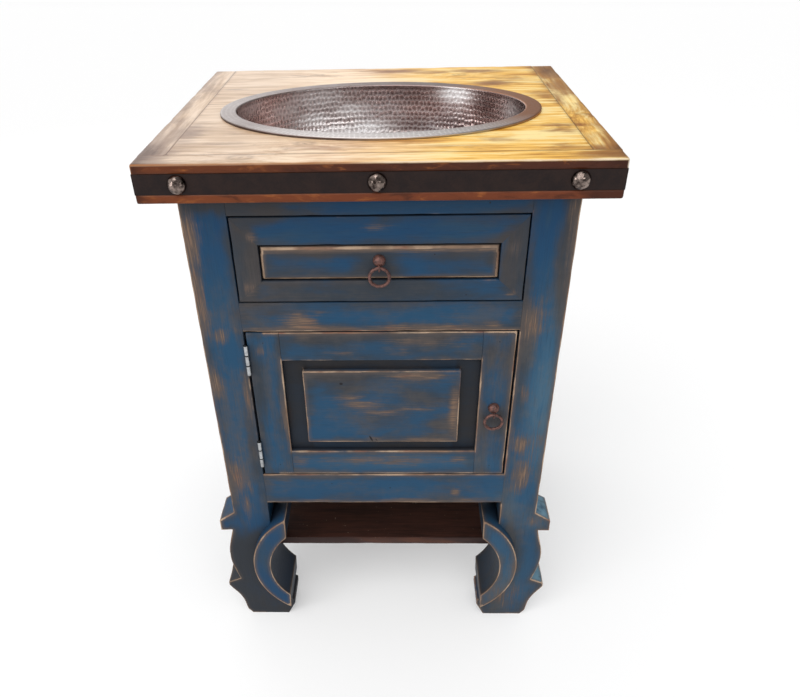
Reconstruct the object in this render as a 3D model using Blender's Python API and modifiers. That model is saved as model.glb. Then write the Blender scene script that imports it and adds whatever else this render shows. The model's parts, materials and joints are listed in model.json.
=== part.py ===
"""A rustic vanity unit: a strapped pine top with an oval copper basin on a painted cabinet with scroll legs.

Metres, +Z up, the front faces -Y. The origin lies on the floor, at the middle of the whole unit's outline.
"""
import math

import bmesh
import bpy

# Clearance between pieces that touch.
GAP = 0.0003

# Slab top.
TOP_WIDTH = 0.635
TOP_DEPTH = 0.559
TOP_THICK = 0.053
TOP_HEIGHT = 0.924
FRONT_BOARD = 0.037
END_BOARD = 0.038

# Iron strap round the slab's front and ends, and its domed nails.
STRAP_HEIGHT = 0.0275
STRAP_THICK = 0.002
STRAP_RISE = 0.0125
NAIL_RADIUS = 0.0128
NAIL_DOME = 0.010
NAIL_CORNER = 0.058
NAIL_SIDE_FRONT = 0.110
NAIL_SIDE_BACK = 0.110

# Copper basin: the rim lies on the slab.
SINK_LENGTH = 0.496
SINK_WIDTH = 0.338
SINK_SETBACK = 0.090
SINK_RIM = 0.025
SINK_LIP = 0.004
SINK_DEPTH = 0.127
SINK_WALL = 0.002
SINK_CLEAR = 0.004
BOWL_FULLNESS = 0.62

# Drain below the basin.
FLANGE_RADIUS = 0.0285
FLANGE_THICK = 0.0025
FLANGE_MARGIN = 0.001
FLANGE_RECESS = 0.003
RECESS_SLOPE = 0.004
THROAT_RADIUS = 0.020
THROAT_WALL = 0.004
THROAT_LENGTH = 0.045
LOCKNUT_RADIUS = 0.030
LOCKNUT_HEIGHT = 0.012
TAIL_WALL = 0.0015
TAIL_LENGTH = 0.110
TAIL_INSERT = 0.020

# Cabinet: overhangs of the slab, posts, rails from the slab downwards; the door takes the height that is left.
FRONT_OVERHANG = 0.028
BACK_OVERHANG = 0.010
SIDE_OVERHANG = 0.045
POST_WIDTH = 0.064
LEG_DEPTH = 0.061
RAIL_THICK = 0.022
TOP_RAIL = 0.0285
DRAWER_OPENING = 0.134
MIDDLE_RAIL = 0.0485
BOTTOM_RAIL = 0.0665
LEG_HEIGHT = 0.3065
SIDE_THICK = 0.018
SIDE_INSET = 0.005
BACK_THICK = 0.012
PIPE_WIDTH = 0.260
PIPE_HEIGHT = 0.180
PIPE_RISE = 0.090
FLOOR_THICK = 0.016

# Sawn outline of a leg, outside the post's outer face and up from the floor.
EAR_REACH = 0.0285
EAR_TOP = 0.2806
EAR_SHOULDER = 0.261
EAR_LOW = 0.2370
EAR_ROOT = 0.0085
BULGE_REACH = 0.0215
BULGE_HEIGHT = 0.165
NOTCH_REACH = 0.0095
NOTCH_HEIGHT = 0.103
TOE_REACH = 0.0345
TOE_TOP = 0.0915
TOE_TIP = 0.083
TOE_ROOT = 0.0125
TOE_LOW = 0.047
HEEL_REACH = 0.0055
HEEL_HEIGHT = 0.012
FOOT_INSET = 0.003
FOOT_CHAMFER = 0.015
FOOT_END = 0.030

# C-shaped scroll nested in the leg's inner side.
SCROLL_OUTER = 0.140
SCROLL_BAND = 0.0315
SCROLL_TAPER = 0.004
SCROLL_HEIGHT = 0.159
SCROLL_COVER = 0.0265
SCROLL_REACH = 0.0275
SCROLL_TILT = 2
SCROLL_PROUD = 0.020
SCROLL_DEPTH = 0.100

# Low shelf and the stretchers under it.
SHELF_HEIGHT = 0.184
SHELF_THICK = 0.017
SHELF_SETBACK = 0.032
STRETCHER_HEIGHT = 0.045
STRETCHER_THICK = 0.020
STRETCHER_INSET = 0.003

# Drawer.
DRAWER_GAP = 0.002
DRAWER_FRONT = 0.020
DRAWER_STILE = 0.036
DRAWER_UPPER = 0.041
DRAWER_LOWER = 0.033
PAD_INSET = 0.0016
PAD_CHAMFER = 0.005
PAD_RISE = 0.008
PANEL_BACK = 0.018
BOX_CLEAR = 0.006
BOX_SIDE = 0.012
BOX_HEIGHT = 0.052
BOX_DEPTH = 0.400
BOX_BOTTOM = 0.007
BOX_RISE = 0.004
BOX_WALL = 0.010
DRAIN_NOTCH = 0.045
RUNNER_WIDTH = 0.030
RUNNER_HEIGHT = 0.022

# Door.
DOOR_THICK = 0.020
DOOR_GAP = 0.0022
LATCH_GAP = 0.0035
DOOR_STILE = 0.0505
DOOR_RAIL = 0.0505
FIELD_SIDE = 0.030
FIELD_END = 0.020
FIELD_RISE = 0.010
DOOR_PANEL_BACK = 0.018
STOP_WIDTH = 0.014
STOP_DEPTH = 0.024
STOP_HEIGHT = 0.040

# Butt hinges in the gap on the door's left.
HINGE_GAP = 0.004
HINGE_HEIGHT = 0.055
HINGE_INSET = 0.047
LEAF_THICK = 0.0015
LEAF_WIDTH = 0.018
KNUCKLE_RADIUS = 0.0032
PIN_RADIUS = 0.0015

# Ring pulls.
ROSETTE_RADIUS = 0.0092
ROSETTE_HEIGHT = 0.0095
EYE_RADIUS = 0.0056
EYE_WIDTH = 0.005
EYE_REACH = 0.0105
EYE_DROP = 0.0075
EYE_CLEAR = 0.0004
RING_RADIUS = 0.0140
RING_WIRE = 0.0026

# Facets of round pieces and of smooth outlines.
ROUND_FACETS = 24
SINK_FACETS = 56
BOWL_RINGS = 8
SCROLL_FACETS = 96
CURVE_STEPS = 6

# Derived levels and faces.
front_y = -(TOP_DEPTH - NAIL_DOME - GAP) / 2
back_y = front_y + TOP_DEPTH
face_y = front_y + FRONT_OVERHANG
rear_y = back_y - BACK_OVERHANG
half_top = TOP_WIDTH / 2
slab_low = TOP_HEIGHT - TOP_THICK
post_top = slab_low - GAP
post_out = half_top - SIDE_OVERHANG
post_in = post_out - POST_WIDTH
drawer_high = slab_low - TOP_RAIL
drawer_low = drawer_high - DRAWER_OPENING
door_high = drawer_low - MIDDLE_RAIL
body_low = LEG_HEIGHT
door_low = body_low + BOTTOM_RAIL
sink_y = front_y + SINK_SETBACK + SINK_WIDTH / 2
rim_top = TOP_HEIGHT + SINK_LIP
bowl_low = rim_top - SINK_DEPTH
scroll_x = post_out - SCROLL_COVER - SCROLL_OUTER
tip_x = post_in - SCROLL_REACH

LOOKS = {
    "pine": ((0.42, 0.20, 0.075), 0.35, 0.0),
    "blue_paint": ((0.035, 0.095, 0.20), 0.55, 0.0),
    "dark_wood": ((0.055, 0.018, 0.010), 0.45, 0.0),
    "raw_wood": ((0.45, 0.30, 0.16), 0.65, 0.0),
    "black_iron": ((0.018, 0.014, 0.013), 0.55, 0.6),
    "nail_bronze": ((0.10, 0.085, 0.075), 0.25, 1.0),
    "copper": ((0.20, 0.095, 0.075), 0.30, 1.0),
    "drain_bronze": ((0.09, 0.055, 0.040), 0.35, 1.0),
    "rust_iron": ((0.095, 0.040, 0.028), 0.50, 0.7),
    "hinge_steel": ((0.62, 0.62, 0.60), 0.30, 1.0),
}


def collection(name):
    """A new collection in the scene."""
    made = bpy.data.collections.new(name)
    bpy.context.scene.collection.children.link(made)
    return made


def material(name, look):
    """A piece's own material, in one of the unit's looks."""
    colour, roughness, metallic = LOOKS[look]
    made = bpy.data.materials.new(name)
    made.use_nodes = True
    shader = made.node_tree.nodes["Principled BSDF"]
    shader.inputs["Base Color"].default_value = (*colour, 1)
    shader.inputs["Roughness"].default_value = roughness
    shader.inputs["Metallic"].default_value = metallic
    return made


def place(name, mesh, look, smooth=False):
    """Puts a mesh in the scene as a piece, or as a cutter where it has no look."""
    obj = bpy.data.objects.new(name, mesh)
    if look is None:
        cutters.objects.link(obj)
        obj.hide_render = True
        obj.display_type = "WIRE"
    else:
        parts.objects.link(obj)
        obj.data.materials.append(material(name, look))
        if smooth:
            mesh.shade_smooth()
            mesh.set_sharp_from_angle(angle=math.radians(40))
    return obj


def box(name, low, high, look):
    """A block between two corners."""
    mesh = bpy.data.meshes.new(name)
    form = bmesh.new()
    bmesh.ops.create_cube(form, size=1)
    bmesh.ops.scale(form, vec=[b - a for a, b in zip(low, high)], verts=form.verts)
    form.to_mesh(mesh)
    form.free()
    obj = place(name, mesh, look)
    obj.location = [(a + b) / 2 for a, b in zip(low, high)]
    return obj


def rod(name, centre, radius, length, axis, look, facets=ROUND_FACETS):
    """A cylinder along one of the axes."""
    mesh = bpy.data.meshes.new(name)
    form = bmesh.new()
    bmesh.ops.create_cone(form, cap_ends=True, segments=facets, radius1=radius, radius2=radius, depth=length)
    form.to_mesh(mesh)
    form.free()
    obj = place(name, mesh, look, smooth=True)
    obj.location = centre
    obj.rotation_euler = {"X": (0, math.pi / 2, 0), "Y": (math.pi / 2, 0, 0), "Z": (0, 0, 0)}[axis]
    return obj


def outline(name, points, low, high, plane, look):
    """A flat outline between two levels; a point with a third value True lies on a smooth stretch."""
    curve = bpy.data.curves.new(name, "CURVE")
    curve.dimensions = "2D"
    curve.fill_mode = "BOTH"
    curve.extrude = (high - low) / 2
    curve.resolution_u = CURVE_STEPS
    spline = curve.splines.new("BEZIER")
    spline.bezier_points.add(len(points) - 1)
    for knot, point in zip(spline.bezier_points, points):
        knot.co = (point[0], point[1], 0)
        kind = "AUTO" if len(point) > 2 else "VECTOR"
        knot.handle_left_type = kind
        knot.handle_right_type = kind
    spline.use_cyclic_u = True
    drawn = bpy.data.objects.new(name + "_outline", curve)
    cutters.objects.link(drawn)
    level = (low + high) / 2
    drawn.location = {"XZ": (0, level, 0), "XY": (0, 0, level), "YZ": (level, 0, 0)}[plane]
    quarter = math.pi / 2
    drawn.rotation_euler = {"XZ": (quarter, 0, 0), "XY": (0, 0, 0), "YZ": (quarter, 0, quarter)}[plane]
    bpy.context.view_layer.update()
    evaluated = drawn.evaluated_get(bpy.context.evaluated_depsgraph_get())
    mesh = bpy.data.meshes.new_from_object(evaluated)
    form = bmesh.new()
    form.from_mesh(mesh)
    bmesh.ops.remove_doubles(form, verts=form.verts, dist=0.000005)
    bmesh.ops.recalc_face_normals(form, faces=form.faces)
    form.to_mesh(mesh)
    form.free()
    obj = place(name, mesh, look)
    obj.matrix_world = drawn.matrix_world.copy()
    bpy.data.objects.remove(drawn)
    return obj


def turned(name, profile, centre, look, facing="Z"):
    """A profile of radius and height, from its top down the outer side, turned about its axis."""
    mesh = bpy.data.meshes.new(name)
    form = bmesh.new()
    knots = [form.verts.new((radius, 0, height)) for radius, height in profile]
    for one, other in zip(knots, knots[1:]):
        form.edges.new((one, other))
    form.to_mesh(mesh)
    form.free()
    obj = place(name, mesh, look)
    obj.location = centre
    obj.rotation_euler = {"Z": (0, 0, 0), "-Y": (math.pi / 2, 0, 0), "X": (0, math.pi / 2, 0),
                          "-X": (0, -math.pi / 2, 0)}[facing]
    screw = obj.modifiers.new("turn", "SCREW")
    screw.steps = ROUND_FACETS
    screw.render_steps = ROUND_FACETS
    screw.use_merge_vertices = True
    screw.merge_threshold = 0.00001
    screw.use_smooth_shade = True
    return obj


def combine(obj, tool, operation="DIFFERENCE"):
    """Cuts a piece with a tool, or joins the tool to it."""
    step = obj.modifiers.new(operation.lower(), "BOOLEAN")
    step.operation = operation
    step.object = tool


def carrier(name, origin, pieces, parent=None):
    """An empty on a joint's axis that carries the pieces which move with it."""
    empty = bpy.data.objects.new(name, None)
    parts.objects.link(empty)
    empty.location = origin
    bpy.context.view_layer.update()
    for piece in pieces:
        piece.parent = empty
        piece.matrix_parent_inverse = empty.matrix_world.inverted()
    if parent:
        empty.parent = parent
        empty.matrix_parent_inverse = parent.matrix_world.inverted()
    return empty


def u_shape(half_out, front_out, half_in, front_in, back):
    """Outline of a U in plan, open at the back."""
    return [(-half_out, back), (-half_out, front_out), (half_out, front_out), (half_out, back),
            (half_in, back), (half_in, front_in), (-half_in, front_in), (-half_in, back)]


def notched(half_front, half_middle, half_rear, levels):
    """Outline of a board in plan that is narrower between the front posts and between the rear posts."""
    front, middle, rear, back = levels
    right = [(half_front, front), (half_front, middle), (half_middle, middle),
             (half_middle, rear), (half_rear, rear), (half_rear, back)]
    return right + [(-x, y) for x, y in reversed(right)]


def make_slab():
    """The boards of the top, the strap in its groove and the nails on the strap."""
    inner = half_top - END_BOARD
    joint_y = front_y + FRONT_BOARD
    front = box("top_front_board", (-half_top, front_y, slab_low), (half_top, joint_y - GAP, TOP_HEIGHT), "pine")
    panel = box("top_panel", (-inner + GAP, joint_y, slab_low), (inner - GAP, back_y, TOP_HEIGHT), "pine")
    left = box("top_left_end", (-half_top, joint_y, slab_low), (-inner, back_y, TOP_HEIGHT), "pine")
    right = box("top_right_end", (inner, joint_y, slab_low), (half_top, back_y, TOP_HEIGHT), "pine")

    hole = rod("basin_hole", (0, sink_y, TOP_HEIGHT), 1, TOP_THICK * 3, "Z", None, SINK_FACETS)
    shrink = SINK_RIM - SINK_WALL - SINK_CLEAR
    hole.scale = (SINK_LENGTH / 2 - shrink, SINK_WIDTH / 2 - shrink, 1)
    combine(panel, hole)

    strap_low = slab_low + STRAP_RISE
    strap_high = strap_low + STRAP_HEIGHT
    depth = STRAP_THICK + GAP
    outside = half_top + TOP_THICK
    groove = outline("strap_groove", u_shape(outside, front_y - TOP_THICK, half_top - depth, front_y + depth,
                                             back_y + TOP_THICK),
                     strap_low - GAP, strap_high + GAP, "XY", None)
    for board in (front, left, right):
        combine(board, groove)
    outline("edge_strap", u_shape(half_top, front_y, half_top - STRAP_THICK, front_y + STRAP_THICK, back_y),
            strap_low, strap_high, "XY", "black_iron")

    dome = [(NAIL_RADIUS * math.sin(turn), NAIL_DOME * math.cos(turn))
            for turn in (math.pi / 2 * step / 5 for step in range(6))] + [(0, 0)]
    level = (strap_low + strap_high) / 2
    edge = half_top - NAIL_CORNER
    for name, x in (("left", -edge), ("middle", 0), ("right", edge)):
        turned("nail_front_" + name, dome, (x, front_y - GAP, level), "nail_bronze", "-Y")
    for side, sign, facing in (("left", -1, "-X"), ("right", 1, "X")):
        for name, y in (("front", front_y + NAIL_SIDE_FRONT), ("rear", back_y - NAIL_SIDE_BACK)):
            turned(f"nail_{side}_{name}", dome, (sign * (half_top + GAP), y, level), "nail_bronze", facing)


def basin_rings():
    """Half length, half width and height of each ring of the basin's upper face, from the lip to the drain hole."""
    half_l, half_w = SINK_LENGTH / 2, SINK_WIDTH / 2
    rings = [(half_l, half_w, TOP_HEIGHT + GAP), (half_l, half_w, rim_top - SINK_WALL / 2),
             (half_l - SINK_WALL / 2, half_w - SINK_WALL / 2, rim_top)]
    foot = FLANGE_RADIUS + FLANGE_MARGIN + RECESS_SLOPE
    for step in range(BOWL_RINGS + 1):
        turn = math.pi / 2 * step / BOWL_RINGS
        spread = abs(math.cos(turn)) ** BOWL_FULLNESS
        drop = math.sin(turn) ** BOWL_FULLNESS if step else 0
        rings.append((foot + (half_l - SINK_RIM - foot) * spread, foot + (half_w - SINK_RIM - foot) * spread,
                      rim_top - SINK_DEPTH * drop))
    recess = bowl_low - FLANGE_RECESS
    for radius in (FLANGE_RADIUS + FLANGE_MARGIN, THROAT_RADIUS + GAP):
        rings.append((radius, radius, recess))
    return rings


def make_basin():
    """The hammered copper basin as a shell, and the drain that clamps in its hole."""
    mesh = bpy.data.meshes.new("sink_basin")
    form = bmesh.new()
    loops = []
    for half_l, half_w, height in basin_rings():
        turns = [math.tau * step / SINK_FACETS for step in range(SINK_FACETS)]
        loops.append([form.verts.new((half_l * math.cos(t), sink_y + half_w * math.sin(t), height)) for t in turns])
    for outer, inner in zip(loops, loops[1:]):
        for step in range(SINK_FACETS):
            after = (step + 1) % SINK_FACETS
            form.faces.new((outer[step], outer[after], inner[after], inner[step]))
    form.to_mesh(mesh)
    form.free()
    basin = place("sink_basin", mesh, "copper", smooth=True)
    shell = basin.modifiers.new("wall", "SOLIDIFY")
    shell.thickness = SINK_WALL
    shell.offset = -1
    shell.use_even_offset = True

    seat = bowl_low - FLANGE_RECESS
    under = seat - SINK_WALL
    bore = THROAT_RADIUS - THROAT_WALL
    throat_low = under - THROAT_LENGTH
    flange_low = seat + GAP
    flange_top = flange_low + FLANGE_THICK
    turned("drain_flange", [(bore, flange_top), (FLANGE_RADIUS, flange_top), (FLANGE_RADIUS, flange_low),
                            (THROAT_RADIUS, flange_low), (THROAT_RADIUS, throat_low), (bore, throat_low),
                            (bore, flange_top)], (0, sink_y, 0), "drain_bronze")
    nut_top = under - GAP
    nut_bore = THROAT_RADIUS + GAP
    nut_low = nut_top - LOCKNUT_HEIGHT
    turned("drain_locknut", [(nut_bore, nut_top), (LOCKNUT_RADIUS, nut_top), (LOCKNUT_RADIUS, nut_low),
                             (nut_bore, nut_low), (nut_bore, nut_top)], (0, sink_y, 0), "drain_bronze")
    tail_out = bore - GAP
    tail_in = tail_out - TAIL_WALL
    tail_top = throat_low + TAIL_INSERT
    tail_low = tail_top - TAIL_LENGTH
    turned("drain_tailpiece", [(tail_in, tail_top), (tail_out, tail_top), (tail_out, tail_low),
                               (tail_in, tail_low), (tail_in, tail_top)], (0, sink_y, 0), "drain_bronze")


def leg_outline(sign):
    """Front view of a post and its sawn leg, on the left for sign -1 and on the right for sign 1."""
    points = [
        (post_in, post_top), (post_out, post_top), (post_out, EAR_TOP),
        (post_out + EAR_REACH, EAR_SHOULDER), (post_out + EAR_REACH, EAR_LOW), (post_out + EAR_ROOT, EAR_LOW),
        (post_out + BULGE_REACH, BULGE_HEIGHT, True), (post_out + NOTCH_REACH, NOTCH_HEIGHT),
        (post_out + TOE_REACH, TOE_TOP), (post_out + TOE_REACH, TOE_TIP),
        (post_out + TOE_ROOT, TOE_LOW, True), (post_out + HEEL_REACH, HEEL_HEIGHT),
        (post_out - FOOT_INSET, 0), (tip_x + FOOT_CHAMFER, 0), (tip_x, FOOT_END),
        (tip_x, SCROLL_HEIGHT - SCROLL_OUTER / 2), (post_in, SCROLL_HEIGHT - SCROLL_OUTER / 2)]
    return [(sign * point[0], *point[1:]) for point in points]


def make_legs():
    """Four posts with sawn legs, and the scroll nested in each."""
    inner = SCROLL_OUTER - SCROLL_BAND
    for end, leg_low, scroll_low, scroll_depth in (
            ("front", face_y, face_y - SCROLL_PROUD, SCROLL_DEPTH),
            ("rear", rear_y - LEG_DEPTH, rear_y - LEG_DEPTH, LEG_DEPTH)):
        for side, sign in (("left", -1), ("right", 1)):
            name = f"{end}_{side}"
            leg = outline(name + "_leg", leg_outline(sign), leg_low, leg_low + LEG_DEPTH, "XZ", "blue_paint")
            middle = scroll_low + scroll_depth / 2
            seat = rod(name + "_seat", (sign * scroll_x, middle, SCROLL_HEIGHT), SCROLL_OUTER + GAP,
                       scroll_depth * 3, "Y", None, SCROLL_FACETS)
            combine(leg, seat)
            scroll = rod(name + "_scroll", (sign * scroll_x, middle, SCROLL_HEIGHT), SCROLL_OUTER,
                         scroll_depth, "Y", "blue_paint", SCROLL_FACETS)
            eye = rod(name + "_scroll_eye", (sign * scroll_x, middle, SCROLL_HEIGHT - SCROLL_TAPER), inner,
                      scroll_depth * 2, "Y", None, SCROLL_FACETS)
            far = SCROLL_OUTER * 3
            ends = sorted((sign * tip_x, sign * (tip_x - far)))
            trim = box(name + "_scroll_trim", (ends[0], middle - far, SCROLL_HEIGHT - far),
                       (ends[1], middle + far, SCROLL_HEIGHT + far), None)
            trim.rotation_euler.y = -sign * math.radians(SCROLL_TILT)
            combine(scroll, eye)
            combine(scroll, trim)


def scroll_inside(height):
    """Distance from the middle to a scroll's inner face at a height."""
    inner = SCROLL_OUTER - SCROLL_BAND
    rise = min(abs(height - SCROLL_HEIGHT + SCROLL_TAPER), inner)
    return scroll_x + math.sqrt(inner ** 2 - rise ** 2)


def make_cabinet():
    """Rails, panels, floor, shelf and stretchers."""
    span = post_in - GAP
    behind = face_y + RAIL_THICK
    for name, low, high in (("top_rail", drawer_high, post_top), ("middle_rail", door_high, drawer_low),
                            ("bottom_rail", body_low, door_low)):
        box(name, (-span, face_y, low), (span, behind, high), "blue_paint")

    front_back = face_y + LEG_DEPTH + GAP
    rear_front = rear_y - LEG_DEPTH - GAP
    side_out = post_out - SIDE_INSET
    side_in = side_out - SIDE_THICK
    box("left_side_panel", (-side_out, front_back, body_low), (-side_in, rear_front, post_top), "blue_paint")
    box("right_side_panel", (side_in, front_back, body_low), (side_out, rear_front, post_top), "blue_paint")

    back = box("back_panel", (-span, rear_y - BACK_THICK, body_low), (span, rear_y, post_top), "blue_paint")
    pipe_low = door_low + PIPE_RISE
    pipes = box("pipe_opening", (-PIPE_WIDTH / 2, rear_y - BACK_THICK * 3, pipe_low),
                (PIPE_WIDTH / 2, rear_y + BACK_THICK * 2, pipe_low + PIPE_HEIGHT), None)
    combine(back, pipes)

    floor_top = door_low - GAP
    outline("cabinet_floor", notched(span, side_in - GAP, span,
                                     (behind + GAP, front_back, rear_front, rear_y - BACK_THICK - GAP)),
            floor_top - FLOOR_THICK, floor_top, "XY", "raw_wood")

    shelf_low = SHELF_HEIGHT - SHELF_THICK
    beam_out = post_out - STRETCHER_INSET
    beam_in = beam_out - STRETCHER_THICK
    beam_top = shelf_low - GAP
    for side, low, high in (("left", -beam_out, -beam_in), ("right", beam_in, beam_out)):
        box(side + "_stretcher", (low, front_back, beam_top - STRETCHER_HEIGHT), (high, rear_front, beam_top),
            "blue_paint")
    between = min(span, scroll_inside(SHELF_HEIGHT) - GAP, scroll_inside(shelf_low) - GAP)
    past_scroll = max(front_back, face_y - SCROLL_PROUD + SCROLL_DEPTH + GAP)
    outline("shelf", notched(between, beam_out, between,
                             (face_y + SHELF_SETBACK, past_scroll, rear_front, rear_y)),
            shelf_low, SHELF_HEIGHT, "XY", "dark_wood")


def make_pull(name, x, z):
    """A domed rosette with an eye, and the ring that hangs in the eye. Returns both and the ring's axis."""
    dome = [(ROSETTE_RADIUS * math.sin(turn), ROSETTE_HEIGHT * math.cos(turn))
            for turn in (math.pi / 2 * step / 5 for step in range(6))] + [(0, 0)]
    rosette = turned(name + "_rosette", dome, (x, face_y - GAP, z), "rust_iron", "-Y")
    eye = (x, face_y - EYE_REACH, z - EYE_DROP)
    lug = rod(name + "_lug", eye, EYE_RADIUS, EYE_WIDTH, "X", None)
    bore = rod(name + "_eye", eye, RING_WIRE + EYE_CLEAR, ROSETTE_RADIUS * 4, "X", None)
    combine(rosette, lug, "UNION")
    combine(rosette, bore)
    bpy.ops.mesh.primitive_torus_add(major_radius=RING_RADIUS, minor_radius=RING_WIRE, major_segments=32,
                                     minor_segments=10, location=(x, eye[1], eye[2] - RING_RADIUS),
                                     rotation=(math.pi / 2, 0, 0))
    drawn = bpy.context.object
    mesh = drawn.data
    spot = drawn.matrix_world.copy()
    bpy.data.objects.remove(drawn)
    ring = place(name + "_ring", mesh, "rust_iron", smooth=True)
    ring.matrix_world = spot
    return rosette, ring, eye


def make_drawer():
    """The drawer front, the tray behind it with its notch for the drain, and the runners."""
    half = post_in - DRAWER_GAP
    low = drawer_low + DRAWER_GAP
    high = drawer_high - DRAWER_GAP
    inner = half - DRAWER_STILE
    inner_low = low + DRAWER_LOWER
    inner_high = high - DRAWER_UPPER
    back = face_y + DRAWER_FRONT
    seam = GAP / 2
    frame = {
        "drawer_upper_frame": [(-half + seam, high), (half - seam, high), (inner - seam, inner_high),
                               (-inner + seam, inner_high)],
        "drawer_lower_frame": [(-half + seam, low), (half - seam, low), (inner - seam, inner_low),
                               (-inner + seam, inner_low)],
        "drawer_left_frame": [(-half, low + seam), (-half, high - seam), (-inner, inner_high - seam),
                              (-inner, inner_low + seam)],
        "drawer_right_frame": [(half, low + seam), (half, high - seam), (inner, inner_high - seam),
                               (inner, inner_low + seam)],
    }
    pieces = [outline(name, points, face_y, back, "XZ", "blue_paint") for name, points in frame.items()]

    panel = box("drawer_panel", (-inner + GAP, face_y + PAD_RISE, inner_low + GAP),
                (inner - GAP, face_y + PANEL_BACK, inner_high - GAP), "blue_paint")
    pad = box("drawer_pad", (-inner + PAD_INSET, face_y, inner_low + PAD_INSET),
              (inner - PAD_INSET, face_y + PAD_RISE + GAP, inner_high - PAD_INSET), None)
    form = bmesh.new()
    form.from_mesh(pad.data)
    front_edges = [e for e in form.edges if all(v.co.y < 0 for v in e.verts)]
    bmesh.ops.bevel(form, geom=front_edges, offset=PAD_CHAMFER, offset_type="OFFSET", segments=1, affect="EDGES")
    form.to_mesh(pad.data)
    form.free()
    combine(panel, pad, "UNION")
    pieces.append(panel)

    box_half = post_in - BOX_CLEAR
    tray = box_half - BOX_SIDE
    start = back + GAP
    end = start + BOX_DEPTH
    top = low + BOX_HEIGHT
    pieces.append(box("drawer_left_side", (-box_half, start, low), (-tray, end, top), "raw_wood"))
    pieces.append(box("drawer_right_side", (tray, start, low), (box_half, end, top), "raw_wood"))
    inside = tray - GAP
    base = low + BOX_RISE
    notch_y = sink_y - DRAIN_NOTCH
    notch = [(DRAIN_NOTCH, end), (DRAIN_NOTCH, notch_y), (-DRAIN_NOTCH, notch_y), (-DRAIN_NOTCH, end)]
    pieces.append(outline("drawer_bottom", [(-inside, end), (-inside, start), (inside, start), (inside, end)] + notch,
                          base, base + BOX_BOTTOM, "XY", "raw_wood"))
    wall = DRAIN_NOTCH + BOX_WALL
    hem = end - BOX_WALL
    pieces.append(outline("drawer_back", [(-inside, end), (-inside, hem), (-wall, hem), (-wall, notch_y - BOX_WALL),
                                          (wall, notch_y - BOX_WALL), (wall, hem), (inside, hem),
                                          (inside, end)] + notch,
                          base + BOX_BOTTOM + GAP, top, "XY", "raw_wood"))
    rosette, ring, eye = make_pull("drawer", 0, (low + high) / 2)
    slide = carrier("drawer_slide", (0, face_y, (low + high) / 2), pieces + [rosette])
    carrier("drawer_ring_axis", eye, [ring], slide)

    run_top = low - GAP
    run_in = post_in - GAP - RUNNER_WIDTH
    run_front = face_y + RAIL_THICK + GAP
    run_back = rear_y - BACK_THICK - GAP
    for side, left, right in (("left", -post_in + GAP, -run_in), ("right", run_in, post_in - GAP)):
        box(side + "_runner", (left, run_front, run_top - RUNNER_HEIGHT), (right, run_back, run_top), "raw_wood")


def leaf_outline(z, outer, inner, cut, back):
    """Side view of a hinge leaf: its front edge lies at one depth at both ends and at another between the cuts."""
    half = HINGE_HEIGHT / 2 - GAP
    front = [(outer, half), (outer, cut), (inner, cut), (inner, -cut), (outer, -cut), (outer, -half)]
    return [(y, z + level) for y, level in [(back, -half), (back, half)] + front]


def make_hinge(name, z):
    """A butt hinge: the post's leaf with the end knuckles and the pin, and the door's leaf with the middle one."""
    pin_x = -post_in + HINGE_GAP / 2
    pin_y = face_y - KNUCKLE_RADIUS - GAP
    half = HINGE_HEIGHT / 2
    middle = HINGE_HEIGHT / 6
    seam = GAP / 2
    plate_front = face_y + GAP
    plate_back = face_y + LEAF_WIDTH

    fixed_low = -post_in + GAP
    ends = [(-half, -middle - seam), (middle + seam, half)]
    fixed = outline(name + "_post_leaf", leaf_outline(z, pin_y, plate_front, ends[1][0] + GAP, plate_back),
                    fixed_low, fixed_low + LEAF_THICK, "YZ", "hinge_steel")
    for end, (low, high) in zip(("low", "high"), ends):
        knuckle = rod(f"{name}_{end}_knuckle", (pin_x, pin_y, z + (low + high) / 2), KNUCKLE_RADIUS, high - low, "Z",
                      None)
        combine(fixed, knuckle, "UNION")
    combine(fixed, rod(name + "_pin", (pin_x, pin_y, z), PIN_RADIUS, HINGE_HEIGHT - GAP, "Z", None), "UNION")

    moving_high = -post_in + HINGE_GAP - GAP
    core = (-middle + seam, middle - seam)
    moving = outline(name + "_door_leaf", leaf_outline(z, plate_front, pin_y, core[1] - GAP, plate_back),
                     moving_high - LEAF_THICK, moving_high, "YZ", "hinge_steel")
    knuckle = rod(name + "_middle_knuckle", (pin_x, pin_y, z), KNUCKLE_RADIUS, core[1] - core[0], "Z", None)
    combine(moving, knuckle, "UNION")
    combine(moving, rod(name + "_bore", (pin_x, pin_y, z), PIN_RADIUS + GAP, HINGE_HEIGHT, "Z", None))
    return moving


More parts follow.
